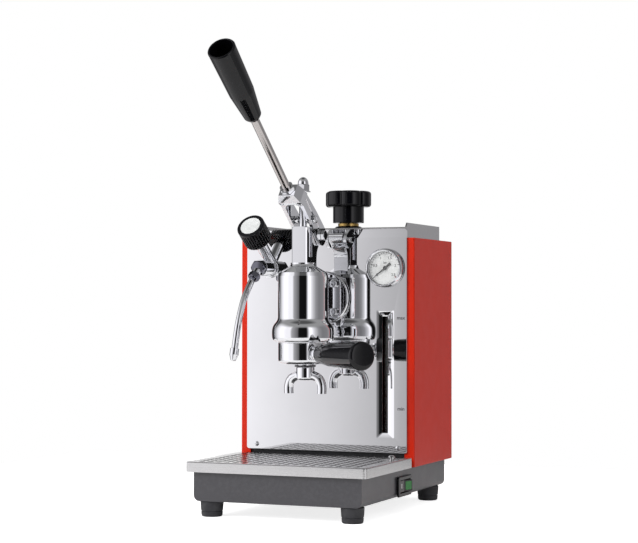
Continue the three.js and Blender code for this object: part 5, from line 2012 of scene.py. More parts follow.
    def _head(self) -> Shape:
        """Makes the screwed head: slotted guide neck and fulcrum post.

        Returns:
            The head.
        """
        low = self.top + FIT
        radius, high, flat, slot, slot_z = self.neck
        thread, depth = self.thread
        rod = 4.5
        edge, rise, start = self.cone
        neck = lathe([
            (rod, low - depth), (thread, low - depth), (thread, low), (self.brim[1], low, 0.2),
            (edge, rise, 3), (radius, start, 2), (radius, high, 1.2), (rod, high, 0.4),
        ], FINE, closed=True)
        front, level = self.flat
        wide, over = radius + PAST, high + PAST
        sides = [
            block((flat, wide), (-wide, wide), (level, over)),
            block((-wide, -flat), (-wide, wide), (level, over)),
            block((-wide, wide), (-wide, -front), (level, over)),
        ]
        gap = block((-wide, wide), (-slot, slot), (slot_z, over))
        neck.minus(*sides, gap).at(0, self.y)
        half, near = self.post
        back = [tuple(point) for point in spline(self.spine, 5)]
        side = soften([(near, low), *back, (back[-1][0], high, 6.5), (near, high)], closed=True, steps=10)
        post = prism(side, (-half, half), Axis.X).bevelled(0.7, 3, 60)
        near, far, z, height = self.pin_slot
        outline = rectangle((near - height, far + height), (z - height, z + height), (height - 0.02,) * 4, 10)
        return neck.plus(post).minus(prism(outline, (-half - PAST, half + PAST), Axis.X))


@dataclass(frozen=True)
class Piston(Assembly):
    """Piston rod with its acorn nut, cross pin and bushes.

    Args:
        y: Y of the group's axis.
        body: Radius, bottom and height of the piston.
        grooves: Offsets, height and root radius of the seal grooves.
        rod: Radius and shoulder of the rod.
        stud: Radius and top of its threaded end.
        nut: Corner radius, bottom and height of the hexagon, and its washer's radius and height.
        dome: Radius and top of the nut's dome.
        pin: Radius of the cross pin, and its height.
        pin_head: Start, radius and length of the pin's heads.
        bush: Radius, near end and far end of a bush.
    """

    y: float = -64.0
    body: Triple = (23.9, 224.6, 14.0)
    grooves: Four = (2.0, 8.4, 3.6, 21.5)
    rod: Pair = (4.2, 333.0)
    stud: Pair = (3.0, 341.0)
    nut: Five = (6.9, 333.3, 8.4, 7.6, 1.4)
    dome: Pair = (5.7, 349.4)
    pin: Pair = (2.4, 305.0)
    pin_head: Triple = (12.6, 4.5, 2.4)
    bush: Triple = (4.2, 4.5, 8.5)

    def build(self, bench: Bench) -> None:
        """Places the rod, nut, pin and bushes.

        Args:
            bench: Where pieces are placed.
        """
        bench.place("plunger_rod", self._rod(), "piston", Look.CHROME, "piston_rod")
        bench.place("acorn_nut", self._nut().at(0, self.y), "piston", Look.CHROME, "rod_nut")
        radius, z = self.pin
        start, head, length = self.pin_head
        seat = start + length
        half = lathe([
            (0, 0), (radius, 0), (radius, start), (head, start, 0.3), (head, seat - 0.5, 0.9),
            (2.6, seat, 0.3), (2.2, seat - 0.5), (0, seat - 0.5),
        ], SMALL)
        other = Shape(half.bm.copy()).facing((-1, 0, 0))
        pin = half.facing((1, 0, 0)).beside(other).at(0, self.y, z)
        bench.place("fork_pin", pin, "piston", Look.CHROME, "crosshead_pin")
        outer, near, far = self.bush
        for side, way in (("left", -1), ("right", 1)):
            wall = [(radius + FIT, near), (outer, near, 0.4), (outer, far, 0.4), (radius + FIT, far)]
            bush = lathe(wall, SMALL, closed=True).facing((way, 0, 0)).at(0, self.y, z)
            bench.place(f"slot_bush_{side}", bush, "piston", Look.CHROME, f"pin_bush_{side}")

    def dress(self, bench: Bench) -> None:
        """Finishes the piston seals."""
        bench.dress(Look.SEAL, "piston_seal_lower", "piston_seal_upper")

    def _rod(self) -> Shape:
        """Makes the piston and rod in one.

        Returns:
            The rod.
        """
        radius, low, height = self.body
        first, second, gap, root = self.grooves
        rings = []
        for start in (first, second):
            bottom, top = low + start, low + start + gap
            rings += [(radius, bottom), (root, bottom), (root, top), (radius, top)]
        rod, shoulder = self.rod
        stud, top = self.stud
        body = lathe([
            (0, low), (radius, low, 0.8), *rings, (radius, low + height, 0.6), (rod, low + height, 1.5),
            (rod, shoulder, 0.3), (stud, shoulder), (stud, top, 0.6), (0, top),
        ]).at(0, self.y)
        pin, z = self.pin
        return body.minus(bar((-rod - PAST, self.y, z), (rod + PAST, self.y, z), pin + FIT))

    def _nut(self) -> Shape:
        """Makes the acorn nut.

        Returns:
            The nut, on the Z axis.
        """
        corner, low, height, washer, thickness = self.nut
        radius, top = self.dome
        flats = hexagon(corner, (low + thickness - 0.2, low + height), [
            (0, low), (corner * 0.93, low), (corner + 0.1, low + 1.6), (corner + 0.1, low + height - 1.2),
            (corner * 0.84, low + height), (0, low + height),
        ])
        rise = top - low - height
        cap = lathe([
            (0, low + height - 1), (radius, low + height - 1),
            *((radius * math.cos(t), low + height + rise * math.sin(t)) for t in quarter(12)),
        ])
        base = lathe([(0, low), (washer, low, 0.3), (washer, low + thickness, 0.5), (0, low + thickness)])
        stud, end = self.stud
        thread = bar((0, 0, low - PAST), (0, 0, end + FIT), stud + FIT)
        return flats.plus(cap, base).minus(thread)


@dataclass(frozen=True)
class Lever(Assembly):
    """Lever fork, lock nut, rod, hollow handle and fulcrum bolt.

    The lever is drawn along -Y from its pin and then turned up. u runs along it and n square to it.

    Args:
        pivot: Y and Z of the cross pin.
        angle: How far the lever points up, in degrees.
        arms: Half distance between the arms inside and outside.
        arch: u of the arch between the arms.
        hub: u of the hub's shoulder and end, and its half width there.
        side: Fork outline from above the pin round the hub to below the pin, as (u, n, fillet).
        tail: u, n and radius of the tail round the fulcrum.
        pocket: Depth, half height, start and end of the pocket in each arm.
        axis_n: n of the rod's axis.
        pin: Radius of the pin's hole.
        rod: Radius, start and end of the rod.
        nut: Corner radius and length of the lock nut.
        grip: Start, waist and end of the handle.
        grip_radii: Radii of its nose, throat, waist, end and open bore.
        grip_seat: u where its bore for the rod ends and where the open end's floor lies.
        bolt: Radius of the fulcrum bolt, corner radius and length of its heads.
    """

    pivot: Pair = (-64.0, 305.0)
    angle: float = 38.0
    arms: Pair = (8.8, 12.3)
    arch: float = 24.2
    hub: Triple = (38.0, 49.0, 8.6)
    side: tuple[Triple, ...] = (
        (0, 11, 14), (31, 8, 18), (49, 5.4, 0.8), (49, -10.4, 0.8), (38, -10.4, 4), (31, -7.7, 8),
        (0, -7.7, 10),
    )
    tail: Triple = (-27.2, 1.2, 10.9)
    pocket: Four = (0.8, 3.2, -14.0, 27.0)
    axis_n: float = -2.5
    pin: float = 2.7
    rod: Triple = (4.4, 36.0, 195.0)
    nut: Pair = (7.8, 4.7)
    grip: Triple = (155.0, 192.0, 249.4)
    grip_radii: Five = (6.4, 9.0, 12.7, 13.9, 11.7)
    grip_seat: Pair = (195.3, 200.3)
    bolt: Triple = (3.0, 5.6, 3.6)

    def build(self, bench: Bench) -> None:
        """Places the fork, nut, rod, handle and bolt.

        Args:
            bench: Where pieces are placed.
        """
        bench.place("fork_casting", self._set(self._fork()), "lever", Look.CHROME, "lever_fork")
        radius, start, end = self.rod
        corner, length = self.nut
        seat = self.hub[1] + FIT
        nut = hexagon(corner, (seat, seat + length), [
            (0, seat), (corner * 0.92, seat), (corner + 0.1, seat + 1), (corner + 0.1, seat + length - 1),
            (corner * 0.92, seat + length), (0, seat + length),
        ])
        nut.minus(bar((0, 0, seat - PAST), (0, 0, seat + length + PAST), radius + FIT))
        bench.place("rod_lock_nut", self._lay(nut), "lever", Look.CHROME, "lever_lock_nut")
        rod = bar((0, 0, start), (0, 0, end), radius, ROUND, 0.5)
        # The rod gets the dim copy of chrome, a painted darker reflection.
        bench.place("steel_rod", self._lay(rod), "lever", Look.BARE_STEEL, "lever_rod")
        bench.place("hollow_grip", self._lay(self._grip()), "lever", Look.BLACK_PLASTIC, "lever_grip")
        bench.place("fulcrum_pin", self._set(self._bolt()), "lever", Look.CHROME, "fulcrum_bolt")

    def _set(self, shape: Shape) -> Shape:
        """Turns a shape drawn in the lever's frame up and puts it on the pin."""
        y, z = self.pivot
        return shape.moved(Matrix.Rotation(-math.radians(self.angle), 4, "X")).at(0, y, z)

    def _lay(self, shape: Shape) -> Shape:
        """Lays a shape turned about Z along the rod's axis."""
        return self._set(shape.facing((0, -1, 0)).at(0, 0, self.axis_n))

    def _fork(self) -> Shape:
        """Makes the fork from its side view and its plan.

        Returns:
            The fork, in the lever's frame.
        """
        u, n, radius = self.tail
        tail = arc((-u, n), radius, 90, -90, 24)
        outline = soften([(-a, b, fillet) for a, b, fillet in self.side[::-1]] + tail, closed=True)
        inner, outer = self.arms
        shoulder, end, half = self.hub
        far = -u + radius + 1
        plan = soften([
            (-outer, far), (-outer, -shoulder, 6), (-half, -end), (half, -end), (outer, -shoulder, 6),
            (outer, far), (inner, far), *arc((0, -self.arch), inner, 0, -180, 24), (-inner, far),
        ], closed=True)
        body = prism(outline, (-outer, outer), Axis.X).common(prism(plan, (-end, end))).bevelled(0.8, 3, 40)
        depth, height, start, stop = self.pocket
        reach = rectangle((-stop - height, -start + height), (-height, height), (height - 0.02,) * 4, 8)
        tools = [
            prism(reach, (outer - depth, outer + PAST), Axis.X),
            prism(reach, (-outer - PAST, -outer + depth), Axis.X),
            bar((-outer - PAST, 0, 0), (outer + PAST, 0, 0), self.pin),
            bar((-outer - PAST, -u, n), (outer + PAST, -u, n), self.bolt[0] + FIT),
            bar((0, -self.arch, self.axis_n), (0, -end - PAST, self.axis_n), self.rod[0] + FIT),
        ]
        return body.minus(*tools)

    def _grip(self) -> Shape:
        """Makes the hollow handle.

        Returns:
            The handle, with u as its height.
        """
        start, waist, end = self.grip
        nose, throat, middle, wide, bore = self.grip_radii
        seat, floor = self.grip_seat
        hole = self.rod[0] + FIT
        return lathe([
            (0, seat), (hole, seat), (hole, start), (nose, start, 0.5), (throat, start + 4, 4),
            (middle, waist, 30), (wide, end - 1, 0.9), (wide - 0.8, end, 0.6), (bore, end, 0.5),
            (bore - 1, floor, 1.5), (0, floor),
        ])

    def _bolt(self) -> Shape:
        """Makes the fulcrum bolt with a chamfered hexagon at each end.

        Returns:
            The bolt, in the lever's frame.
        """
        radius, corner, length = self.bolt
        seat = self.arms[1] + FIT
        end = seat + length
        heads = []
        for way in (-1, 1):
            head = hexagon(corner, (seat, end), [
                (0, seat), (corner + 0.1, seat), (corner + 0.1, end - 0.8), (corner * 0.86, end), (0, end),
            ])
            heads.append(head.facing((way, 0, 0)))
        shank = bar((-seat - 1, 0, 0), (seat + 1, 0, 0), radius)
        u, n, _ = self.tail
        return shank.plus(*heads).at(0, -u, n)


@dataclass(frozen=True)
class Portafilter(Assembly):
    """Portafilter body with ferrule, handle, collar and twin spout.

    It is drawn with its handle along -Y and then turned.

    Args:
        y: Y of the group's axis.
        angle: How far the handle is turned to the right, in degrees.
        cup: Upper radius, lower radius, bore and corner radius.
        cup_z: Rim, shoulder, floor and bottom.
        boss: Radius and bottom of the outlet boss.
        drain: Radius of the hole through it.
        lugs: Reach, half width, bottom and top of the bayonet lugs.
        handle_z: Height of the handle's axis.
        socket: Radius and end of the handle's socket.
        stud: Radius and end of the stud in the handle.
        ferrule: Radius, length and edge of the ferrule.
        handle_s: Start, neck and end of the handle.
        handle_radii: Radius of its root, neck and end.
        shift: Offset of the spout along X.
        collar: Radius and height of the dark collar.
        neck: Radius and bottom of the spout's neck.
        tube: Outer and inner radius of the spout's limbs.
        limb: X and height of each point of the right limb.
        tip: Height of the spout's mouths.
        nipple: Radius, top and bore of the spout's nipple in the boss.
        blend: Cell size and smoothing passes that give the spout its cast skin.
    """

    y: float = -64.0
    angle: float = 52.0
    cup: Four = (26.5, 26.0, 24.3, 5.0)
    cup_z: Four = (188.7, 177.3, 158.0, 154.9)
    boss: Pair = (8.5, 152.1)
    drain: float = 4.0
    lugs: Four = (29.5, 8.5, 180.6, 184.2)
    handle_z: float = 166.0
    socket: Pair = (6.8, 31.0)
    stud: Pair = (4.0, 70.0)
    ferrule: Triple = (8.4, 6.7, 1.2)
    handle_s: Triple = (38.3, 59.0, 122.0)
    handle_radii: Triple = (9.6, 12.3, 14.5)
    shift: float = 2.6
    collar: Pair = (11.0, 1.6)
    neck: Pair = (9.6, 138.3)
    tube: Pair = (4.9, 3.6)
    limb: tuple[Pair, ...] = (
        (0, 143.6), (9.5, 142.8), (15.8, 139), (18.5, 132), (18.5, 124.4), (18.5, 123.4),
    )
    tip: float = 124.4
    nipple: Triple = (3.6, 156.5, 2.4)
    blend: tuple[float, int] = (0.45, 6)

    def build(self, bench: Bench) -> None:
        """Places the body, ferrule, handle, collar and spout.

        Args:
            bench: Where pieces are placed.
        """
        bench.place("filter_holder", self._set(self._body()), "portafilter", Look.CHROME, "filter_body")
        bore = self.stud[0] + FIT
        radius, length, edge = self.ferrule
        start = self.socket[1] + FIT
        ring = lathe([
            (bore, start), (radius, start, edge), (radius, start + length, edge), (bore, start + length),
        ], closed=True)
        bench.place("chrome_ferrule", self._lay(ring), "portafilter", Look.CHROME, "handle_ferrule")
        handle = self._lay(self._handle())
        bench.place("black_handle", handle, "portafilter", Look.BLACK_PLASTIC, "filter_handle")
        low = self.boss[1]
        outer, height = self.collar
        collar = lathe([
            (self.boss[0] + FIT, low), (outer, low, 0.4), (outer, low + height, 0.4),
            (self.boss[0] + FIT, low + height),
        ], closed=True).at(self.shift, self.y)
        bench.place("dark_collar", collar, "portafilter", Look.SEAL, "spout_collar")
        bench.place("double_spout", self._spout(), "portafilter", Look.CHROME, "twin_spout")

    def dress(self, bench: Bench) -> None:
        """Finishes the basket."""
        bench.dress(Look.STEEL, "filter_basket")

    def _set(self, shape: Shape) -> Shape:
        """Turns a shape drawn with the handle along -Y into its place."""
        return shape.turned_z(math.radians(self.angle)).at(0, self.y)

    def _lay(self, shape: Shape) -> Shape:
        """Lays a shape turned about Z along the handle's axis."""
        return self._set(shape.facing((0, -1, 0)).at(0, 0, self.handle_z))

    def _body(self) -> Shape:
        """Makes the cup with its boss, lugs, socket and stud.

        Returns:
            The body, with its handle along -Y.
        """
        upper, lower, bore, corner = self.cup
        rim, shoulder, floor, bottom = self.cup_z
        cup = lathe([
            (0, bottom), (lower, bottom, corner), (lower, shoulder - 0.5, 0.3), (upper, shoulder, 0.3),
            (upper, rim, 0.5), (bore, rim), (bore, floor, corner), (0, floor),
        ], FINE)
        turn = math.radians(-self.angle)
        x, y = self.shift * math.cos(turn), self.shift * math.sin(turn)
        radius, low = self.boss
        boss = bar((x, y, low), (x, y, bottom + 0.5), radius)
        reach, half, lug_low, lug_high = self.lugs
        ring = lathe([
            (bore + 0.5, lug_low), (reach, lug_low, 0.5), (reach, lug_high, 0.8), (bore + 0.5, lug_high),
        ], closed=True)
        lugs = ring.common(block((-reach, reach), (-half, half), (lug_low - PAST, lug_high + PAST)))
        socket_radius, end = self.socket
        socket = bar((0, -bore - 0.5, self.handle_z), (0, -end, self.handle_z), socket_radius, ROUND, 0.6)
        stud_radius, stud_end = self.stud
        stud = bar((0, -end + 0.5, self.handle_z), (0, -stud_end, self.handle_z), stud_radius, SMALL, 0.5)
        drain = bar((x, y, low - PAST), (x, y, floor + PAST), self.drain)
        return cup.plus(boss, lugs, socket, stud).minus(drain)

    def _handle(self) -> Shape:
        """Makes the flared handle with its crowned end.

        Returns:
            The handle, with the distance from the group's axis as its height.
        """
        start, neck_s, end = self.handle_s
        root, neck, wide = self.handle_radii
        bore = self.stud[0] + FIT
        depth = self.stud[1] + 2
        shrink, rise = 0.9, 2.2
        crown = [
            (wide * math.cos(t) - shrink * math.cos(t), end - rise + rise * math.sin(t)) for t in quarter(10)
        ]
        return lathe([
            (0, depth), (bore, depth), (bore, start), (root, start, 0.9), (neck, neck_s, 40),
            (wide, end - 5, 12), (wide - 0.15, end - 3, 1.5), *crown,
        ])

    def _spout(self) -> Shape:
        """Makes the cast twin spout.

        Returns:
            The spout, in place.
        """
        radius, low = self.neck
        high = self.boss[1] - FIT
        throat = lathe([
            (0, low), (radius, low, 2.8), (radius, high - 1.2, 0.2), (radius, high), (0, high),
        ])
        outer, inner = self.tube
        ways = [[(side * x, 0, z) for x, z in self.limb] for side in (-1, 1)]
        blend = throat.plus(*(tube(spline(way), outer) for way in ways)).remeshed(*self.blend)
        stub, top, bore = self.nipple
        nipple = bar((0, 0, high - 2), (0, 0, top), stub)
        half, under = self.limb[-1][0] + outer + 2, 100
        floor = block((-half, half), (-half, half), (under, self.tip))
        drain = bar((0, 0, self.limb[0][1]), (0, 0, top + 1.5), bore)
        drain.plus(*(tube(spline(way), inner) for way in ways))
        return blend.plus(nipple).minus(floor, drain).at(self.shift, self.y)


@dataclass(frozen=True)
class SteamTap(Assembly):
    """Steam valve with its ribbed knob on an inclined stem, and the wand below it.

    Args:
        x: X of the valve's axis.
        z: Height of the valve's axis.
        barrel: Radius and front of the barrel.
        rose: Radius and thickness of the rose on the plate.
        seat: Y of the rose's back.
        tail: Radius and back of the tail behind the plate.
        foot: Where the knob's foot lies, with X from the valve's axis.
        stem_axis: Direction of the stem.
        bonnet: Radius of the bonnet, and its start and end along the stem.
        cap: Corner radius and back of the hexagon at the barrel's front.
        stem: Radius of the stem, its reach below and above the foot.
        knob: Radius of the knob, and its start and end along the stem.
        ribs: How many ribs it has.
        disc: Radius and thickness of its light disc.
        pipe_start: Where the wand's joint starts, with X from the valve's axis.
        pipe_axis: Direction of the joint.
        boss: Radius and end of the joint's boss.
        nut: Corner radius and length of the nut.
        pipe: Radius of the pipe, and its first and last straight point along the joint.
        route: Further points of the pipe, with X from the valve's axis.
        tip: The nozzle's tip, with X from the valve's axis.
        nozzle: Length, radius, length of the cone and radius of the tip.
        pipe_end: Distance of the pipe's end from the tip.
    """

    x: float = -65.0
    z: float = 256.0
    barrel: Pair = (8.5, -36.0)
    rose: Pair = (10.5, 2.6)
    seat: float = -2.6
    tail: Pair = (6.0, 5.0)
    foot: Triple = (0.0, -19.0, 275.7)
    stem_axis: Triple = (-2.0, -31.0, 25.0)
    bonnet: Triple = (6.3, -19.0, 12.6)
    cap: Pair = (8.6, -29.0)
    stem: Triple = (3.0, 12.0, 30.0)
    knob: Triple = (15.3, 15.6, 39.4)
    ribs: int = 32
    disc: Pair = (11.2, 1.2)
    pipe_start: Triple = (-1.0, -34.5, 251.7)
    pipe_axis: Triple = (-3.2, -12.0, -13.4)
    boss: Pair = (5.0, 3.7)
    nut: Pair = (6.4, 6.0)
    pipe: Triple = (3.4, 4.4, 11.5)
    route: tuple[Triple, ...] = ((-2, -50, 238), (-3, -62.5, 222.9), (-4, -73.2, 200.4), (-4.5, -76.5, 189.7))
    tip: Triple = (-5.5, -84.2, 158.0)
    nozzle: Four = (13.0, 4.7, 6.0, 2.6)
    pipe_end: float = 7.0

    def build(self, bench: Bench) -> None:
        """Places the valve, knob and wand.

        Args:
            bench: Where pieces are placed.
        """
        bench.place("steam_barrel", self._valve().at(self.x), "machine", Look.CHROME, "steam_valve")
        # The cap nut gets the dark copy of chrome, a painted dark reflection.
        bench.place("valve_cap_nut", self._cap(), "machine", Look.DARK_CHROME)
        radius, below, above = self.stem
        stem = self._raise(bar((0, 0, -below), (0, 0, above), radius))
        bench.place("valve_stem", stem, "steam_control", Look.CHROME, "steam_stem")
        knob = self._raise(self._knob())
        bench.place("ribbed_knob", knob, "steam_control", Look.BLACK_PLASTIC, "steam_knob")
        disc, thickness = self.disc
        top = self.knob[2]
        cap = lathe([(0, top - thickness), (disc, top - thickness), (disc, top, 0.4), (0, top - 0.05)])
        bench.place("knob_disc", self._raise(cap), "steam_control", Look.PALE_DISC, "steam_knob_cap")
        self._wand(bench)

    def _raise(self, shape: Shape) -> Shape:
        """Puts a shape turned about Z on the stem's foot."""
        x, y, z = self.foot
        return shape.facing(self.stem_axis).at(self.x + x, y, z)

    def _along(self, start: Triple, axis: Triple, distance: float) -> Vector:
        """Gives a point on an axis."""
        return Vector(start) + Vector(axis).normalized() * distance

    def _valve(self) -> Shape:
        """Makes the valve's body.

        Returns:
            The body, with X = 0 on its axis.
        """
        radius = self.barrel[0]
        rose, thickness = self.rose
        tail, back = self.tail
        face = -self.seat + thickness
        barrel = lathe([
            (0, -back), (tail, -back, 0.5), (tail, -self.seat), (rose, -self.seat), (rose, face, 1.2),
            (radius, face, 0.5), (radius, -self.cap[1] - FIT, 0.4), (0, -self.cap[1] - FIT),
        ]).facing((0, -1, 0)).at(0, 0, self.z)
        width, low, high = self.bonnet
        stem, below, _ = self.stem
        places = (low, high, high + PAST, -below - PAST)
        foot, top, above, bottom = (self._along(self.foot, self.stem_axis, s) for s in places)
        bonnet = bar(foot, top, width, ROUND, 0.8)
        bonnet.minus(block((-20, 20), (self.seat, 60), (self.z, self.z + 40)))
        bore = bar(above, bottom, stem + FIT)
        boss, end = self.boss
        joint = bar(*(self._along(self.pipe_start, self.pipe_axis, s) for s in (-1, end)), boss)
        return barrel.plus(bonnet, joint).minus(bore)

    def _cap(self) -> Shape:
        """Makes the hexagon nut at the barrel's front.

        Returns:
            The nut, in place.
        """
        corner, rear = self.cap
        front = self.barrel[1]
        nut = hexagon(corner, (-rear, -front), [
            (0, -rear), (corner * 0.92, -rear), (corner + 0.1, 1.2 - rear), (corner + 0.1, -front - 2.2),
            (corner * 0.78, -front - 0.3, 1), (corner * 0.4, -front), (0, -front),
        ])
        return nut.facing((0, -1, 0)).at(self.x, 0, self.z)

    def _knob(self) -> Shape:
        """Makes the ribbed knob with a plain rim round its disc.

        Returns:
            The knob, on the Z axis.
        """
        radius, start, length = self.knob
        per_rib = 8
        count = self.ribs * per_rib

        def loop(inset: float, z: float, depth: float) -> list[Triple]:
            """Gives the knob's outline at one height.

            Args:
                inset: How far it lies inside the full radius.
                z: Its height.
                depth: Depth of the grooves between the ribs.

            Returns:
                The loop.
            """
            made = []
            for k in range(count):
                turn = math.tau * k / count
                groove = (0.5 + 0.5 * math.cos(self.ribs * turn)) ** 2
                r = radius - inset - depth * groove
                made.append((r * math.cos(turn), r * math.sin(turn), z))
            return made

        rows = [
            (2.2, start, 0), (1.0, start + 0.4, 0.2), (0.3, start + 1.2, 0.6), (0, start + 2.2, 1.3),
            (0, length - 3.4, 1.3), (0, length - 2.6, 0.3), (0, length - 2.3, 0), (0, length - 1.1, 0),
            (0.25, length - 0.4, 0), (0.9, length, 0),
        ]
        body = loft([loop(*row) for row in rows])
        disc, thickness = self.disc
        stem, _, above = self.stem
        return body.minus(
            bar((0, 0, length - thickness - FIT), (0, 0, length + PAST), disc + FIT, ROUND),
            bar((0, 0, start - PAST), (0, 0, above + FIT), stem + FIT),
        )

    def _wand(self, bench: Bench) -> None:
        """Places the nut, pipe and nozzle.

        Args:
            bench: Where pieces are placed.
        """
        corner, length = self.nut
        start = self.boss[1] + FIT
        end, ease = start + length, 1.1
        nut = hexagon(corner, (start, end), [
            (0, start), (corner * 0.9, start), (corner + 0.1, start + ease), (corner + 0.1, end - ease),
            (corner * 0.9, end), (0, end),
        ])
        radius, first, last = self.pipe
        nut.minus(bar((0, 0, start - PAST), (0, 0, end + PAST), radius + FIT))
        joint = self._along(self.pipe_start, self.pipe_axis, 0)
        nut.facing(self.pipe_axis).at(self.x + joint.x, joint.y, joint.z)
        # The joint nut gets the dark copy of chrome, a painted dark reflection.
        bench.place("joint_nut", nut, "machine", Look.DARK_CHROME, "pipe_nut")
        down = tuple(b - a for a, b in zip(self.route[-1], self.tip))
        points = [self._along(self.pipe_start, self.pipe_axis, s) for s in (first, (first + last) / 2, last)]
        points += [*self.route, self._along(self.tip, down, -self.pipe_end)]
        wand = tube(spline(points, 14), radius, SMALL).at(self.x)
        bench.place("bent_pipe", wand, "steam_wand", Look.CHROME, "steam_pipe")
        size, wide, cone, small = self.nozzle
        bore = radius + FIT
        shape = lathe([
            (0, -self.pipe_end + FIT), (bore, -self.pipe_end + FIT), (bore, -size), (wide, -size, 0.5),
            (wide, -cone, 1.2), (small, 0, 0.8), (0.6, 0), (0.6, -2), (0, -2),
        ])
        tip = shape.facing(down).at(self.x + self.tip[0], self.tip[1], self.tip[2])
        bench.place("wand_nozzle", tip, "steam_wand", Look.CHROME, "steam_nozzle")


@dataclass(frozen=True)
class Tray(Assembly):
    """Drip tray with its perforated lid.

    Args:
        half: Half of the lid's width.
        y: Front and back of the lid.
        z: Bottom and top of the lid.
        sheet: Thickness of its sheet.
        corners: Radius of its front and back corners.
        roll: Radius of its folded upper edge.
        field: Half width, front and back of the perforated field.
        pitch: Distance between holes, across and along the lid.
        hole: Half width and half length of a hole.
        stud: X, Y, radius, neck radius and height of the lifting stud.
        clear: Distance round the stud without holes.
        margin: Width of the lid's edge, inside which an upright face is a hole's wall.
    """

    half: float = 98.9
    y: Pair = (-138.4, -4.5)
    z: Pair = (45.9, 56.4)
    sheet: float = 1.2
    corners: Pair = (4.0, 1.2)
    roll: float = 1.3
    field: Triple = (91.0, -133.0, -10.0)
    pitch: Pair = (9.4, 9.4)
    hole: Pair = (3.0, 3.0)
    stud: Five = (88.5, -37.4, 3.5, 2.4, 4.5)
    clear: float = 9.0
    margin: float = 4.0

    def build(self, bench: Bench) -> None:
        """Places the lid, with painted shade on the walls of its holes."""
        lid = bench.place("perforated_lid", self._lid(), "lid", Look.STEEL, "tray_lid", sharp=40)
        # The walls of the holes get the dark steel, painted shade inside the holes.
        bench.paint_shade_in_holes(lid, Look.CUT_STEEL, self.margin, self.z[1])

    def dress(self, bench: Bench) -> None:
        """Finishes the pan."""
        bench.dress(Look.BLACK_STEEL, "tray_pan")

    def _lid(self) -> Shape:
        """Makes the lid.

        Returns:
            The lid.
        """
        low, high = self.z
        front, back = self.corners
        fold = [(self.roll * (1 - math.cos(t)), high - self.roll * (1 - math.sin(t))) for t in quarter(6)]
        rows = [(0, low), *fold]
        shell = loft([self._loop(inset, z, front, back) for inset, z in rows])
        under = high - self.sheet
        hollow = loft([self._loop(self.sheet, z, front, self.sheet + 0.3) for z in (low - PAST, under)])
        x, y, radius, neck, height = self.stud
        knob = lathe([
            (0, under), (neck, under), (neck, high + height / 2), (radius, high + height / 2, 0.5),
            (radius, high + height * 0.7, 0.8), (radius * 0.6, high + height, 1), (0, high + height),
        ], SMALL).at(x, y)
        return shell.minus(hollow, self._holes()).plus(knob)

    def _loop(self, inset: float, z: float, front: float, back: float) -> list[Triple]:
        """Gives the lid's outline at one height.

        Args:
            inset: How far it lies inside the full outline.
            z: Its height.
            front: Radius of the front corners.
            back: Radius of the back corners.

        Returns:
            The loop.
        """
        a, b = max(front - inset, 0.2), max(back - inset, 0.2)
        outline = rectangle(
            (-self.half + inset, self.half - inset), (self.y[0] + inset, self.y[1] - inset), (a, a, b, b)
        )
        return [(x, y, z) for x, y in outline]

    def _holes(self) -> Shape:
        """Makes the cutters of all holes, in straight rows and columns.

        Returns:
            The cutters as one shape.
        """
        half, front, back = self.field
        stud_x, stud_y = self.stud[:2]
        across, along = self.pitch
        rows = int((back - front) / along)
        columns = int(2 * half / across)
        bm = bmesh.new()
        span = (self.z[1] - self.sheet - PAST, self.z[1] + PAST)
        width, length = self.hole
        corners = ((width, length), (-width, length), (-width, -length), (width, -length))
        for row in range(rows):
            y = (front + back) / 2 + (row - (rows - 1) / 2) * along
            for column in range(columns):
                x = (column - (columns - 1) / 2) * across
                if math.hypot(x - stud_x, y - stud_y) < self.clear:
                    continue
                rings = [[bm.verts.new((x + a, y + b, z)) for a, b in corners] for z in span]
                bm.faces.new(rings[0][::-1])
                bm.faces.new(rings[1])
                for k in range(4):
                    n = (k + 1) % 4
                    bm.faces.new((rings[0][k], rings[0][n], rings[1][n], rings[1][k]))
        return Shape(bm)


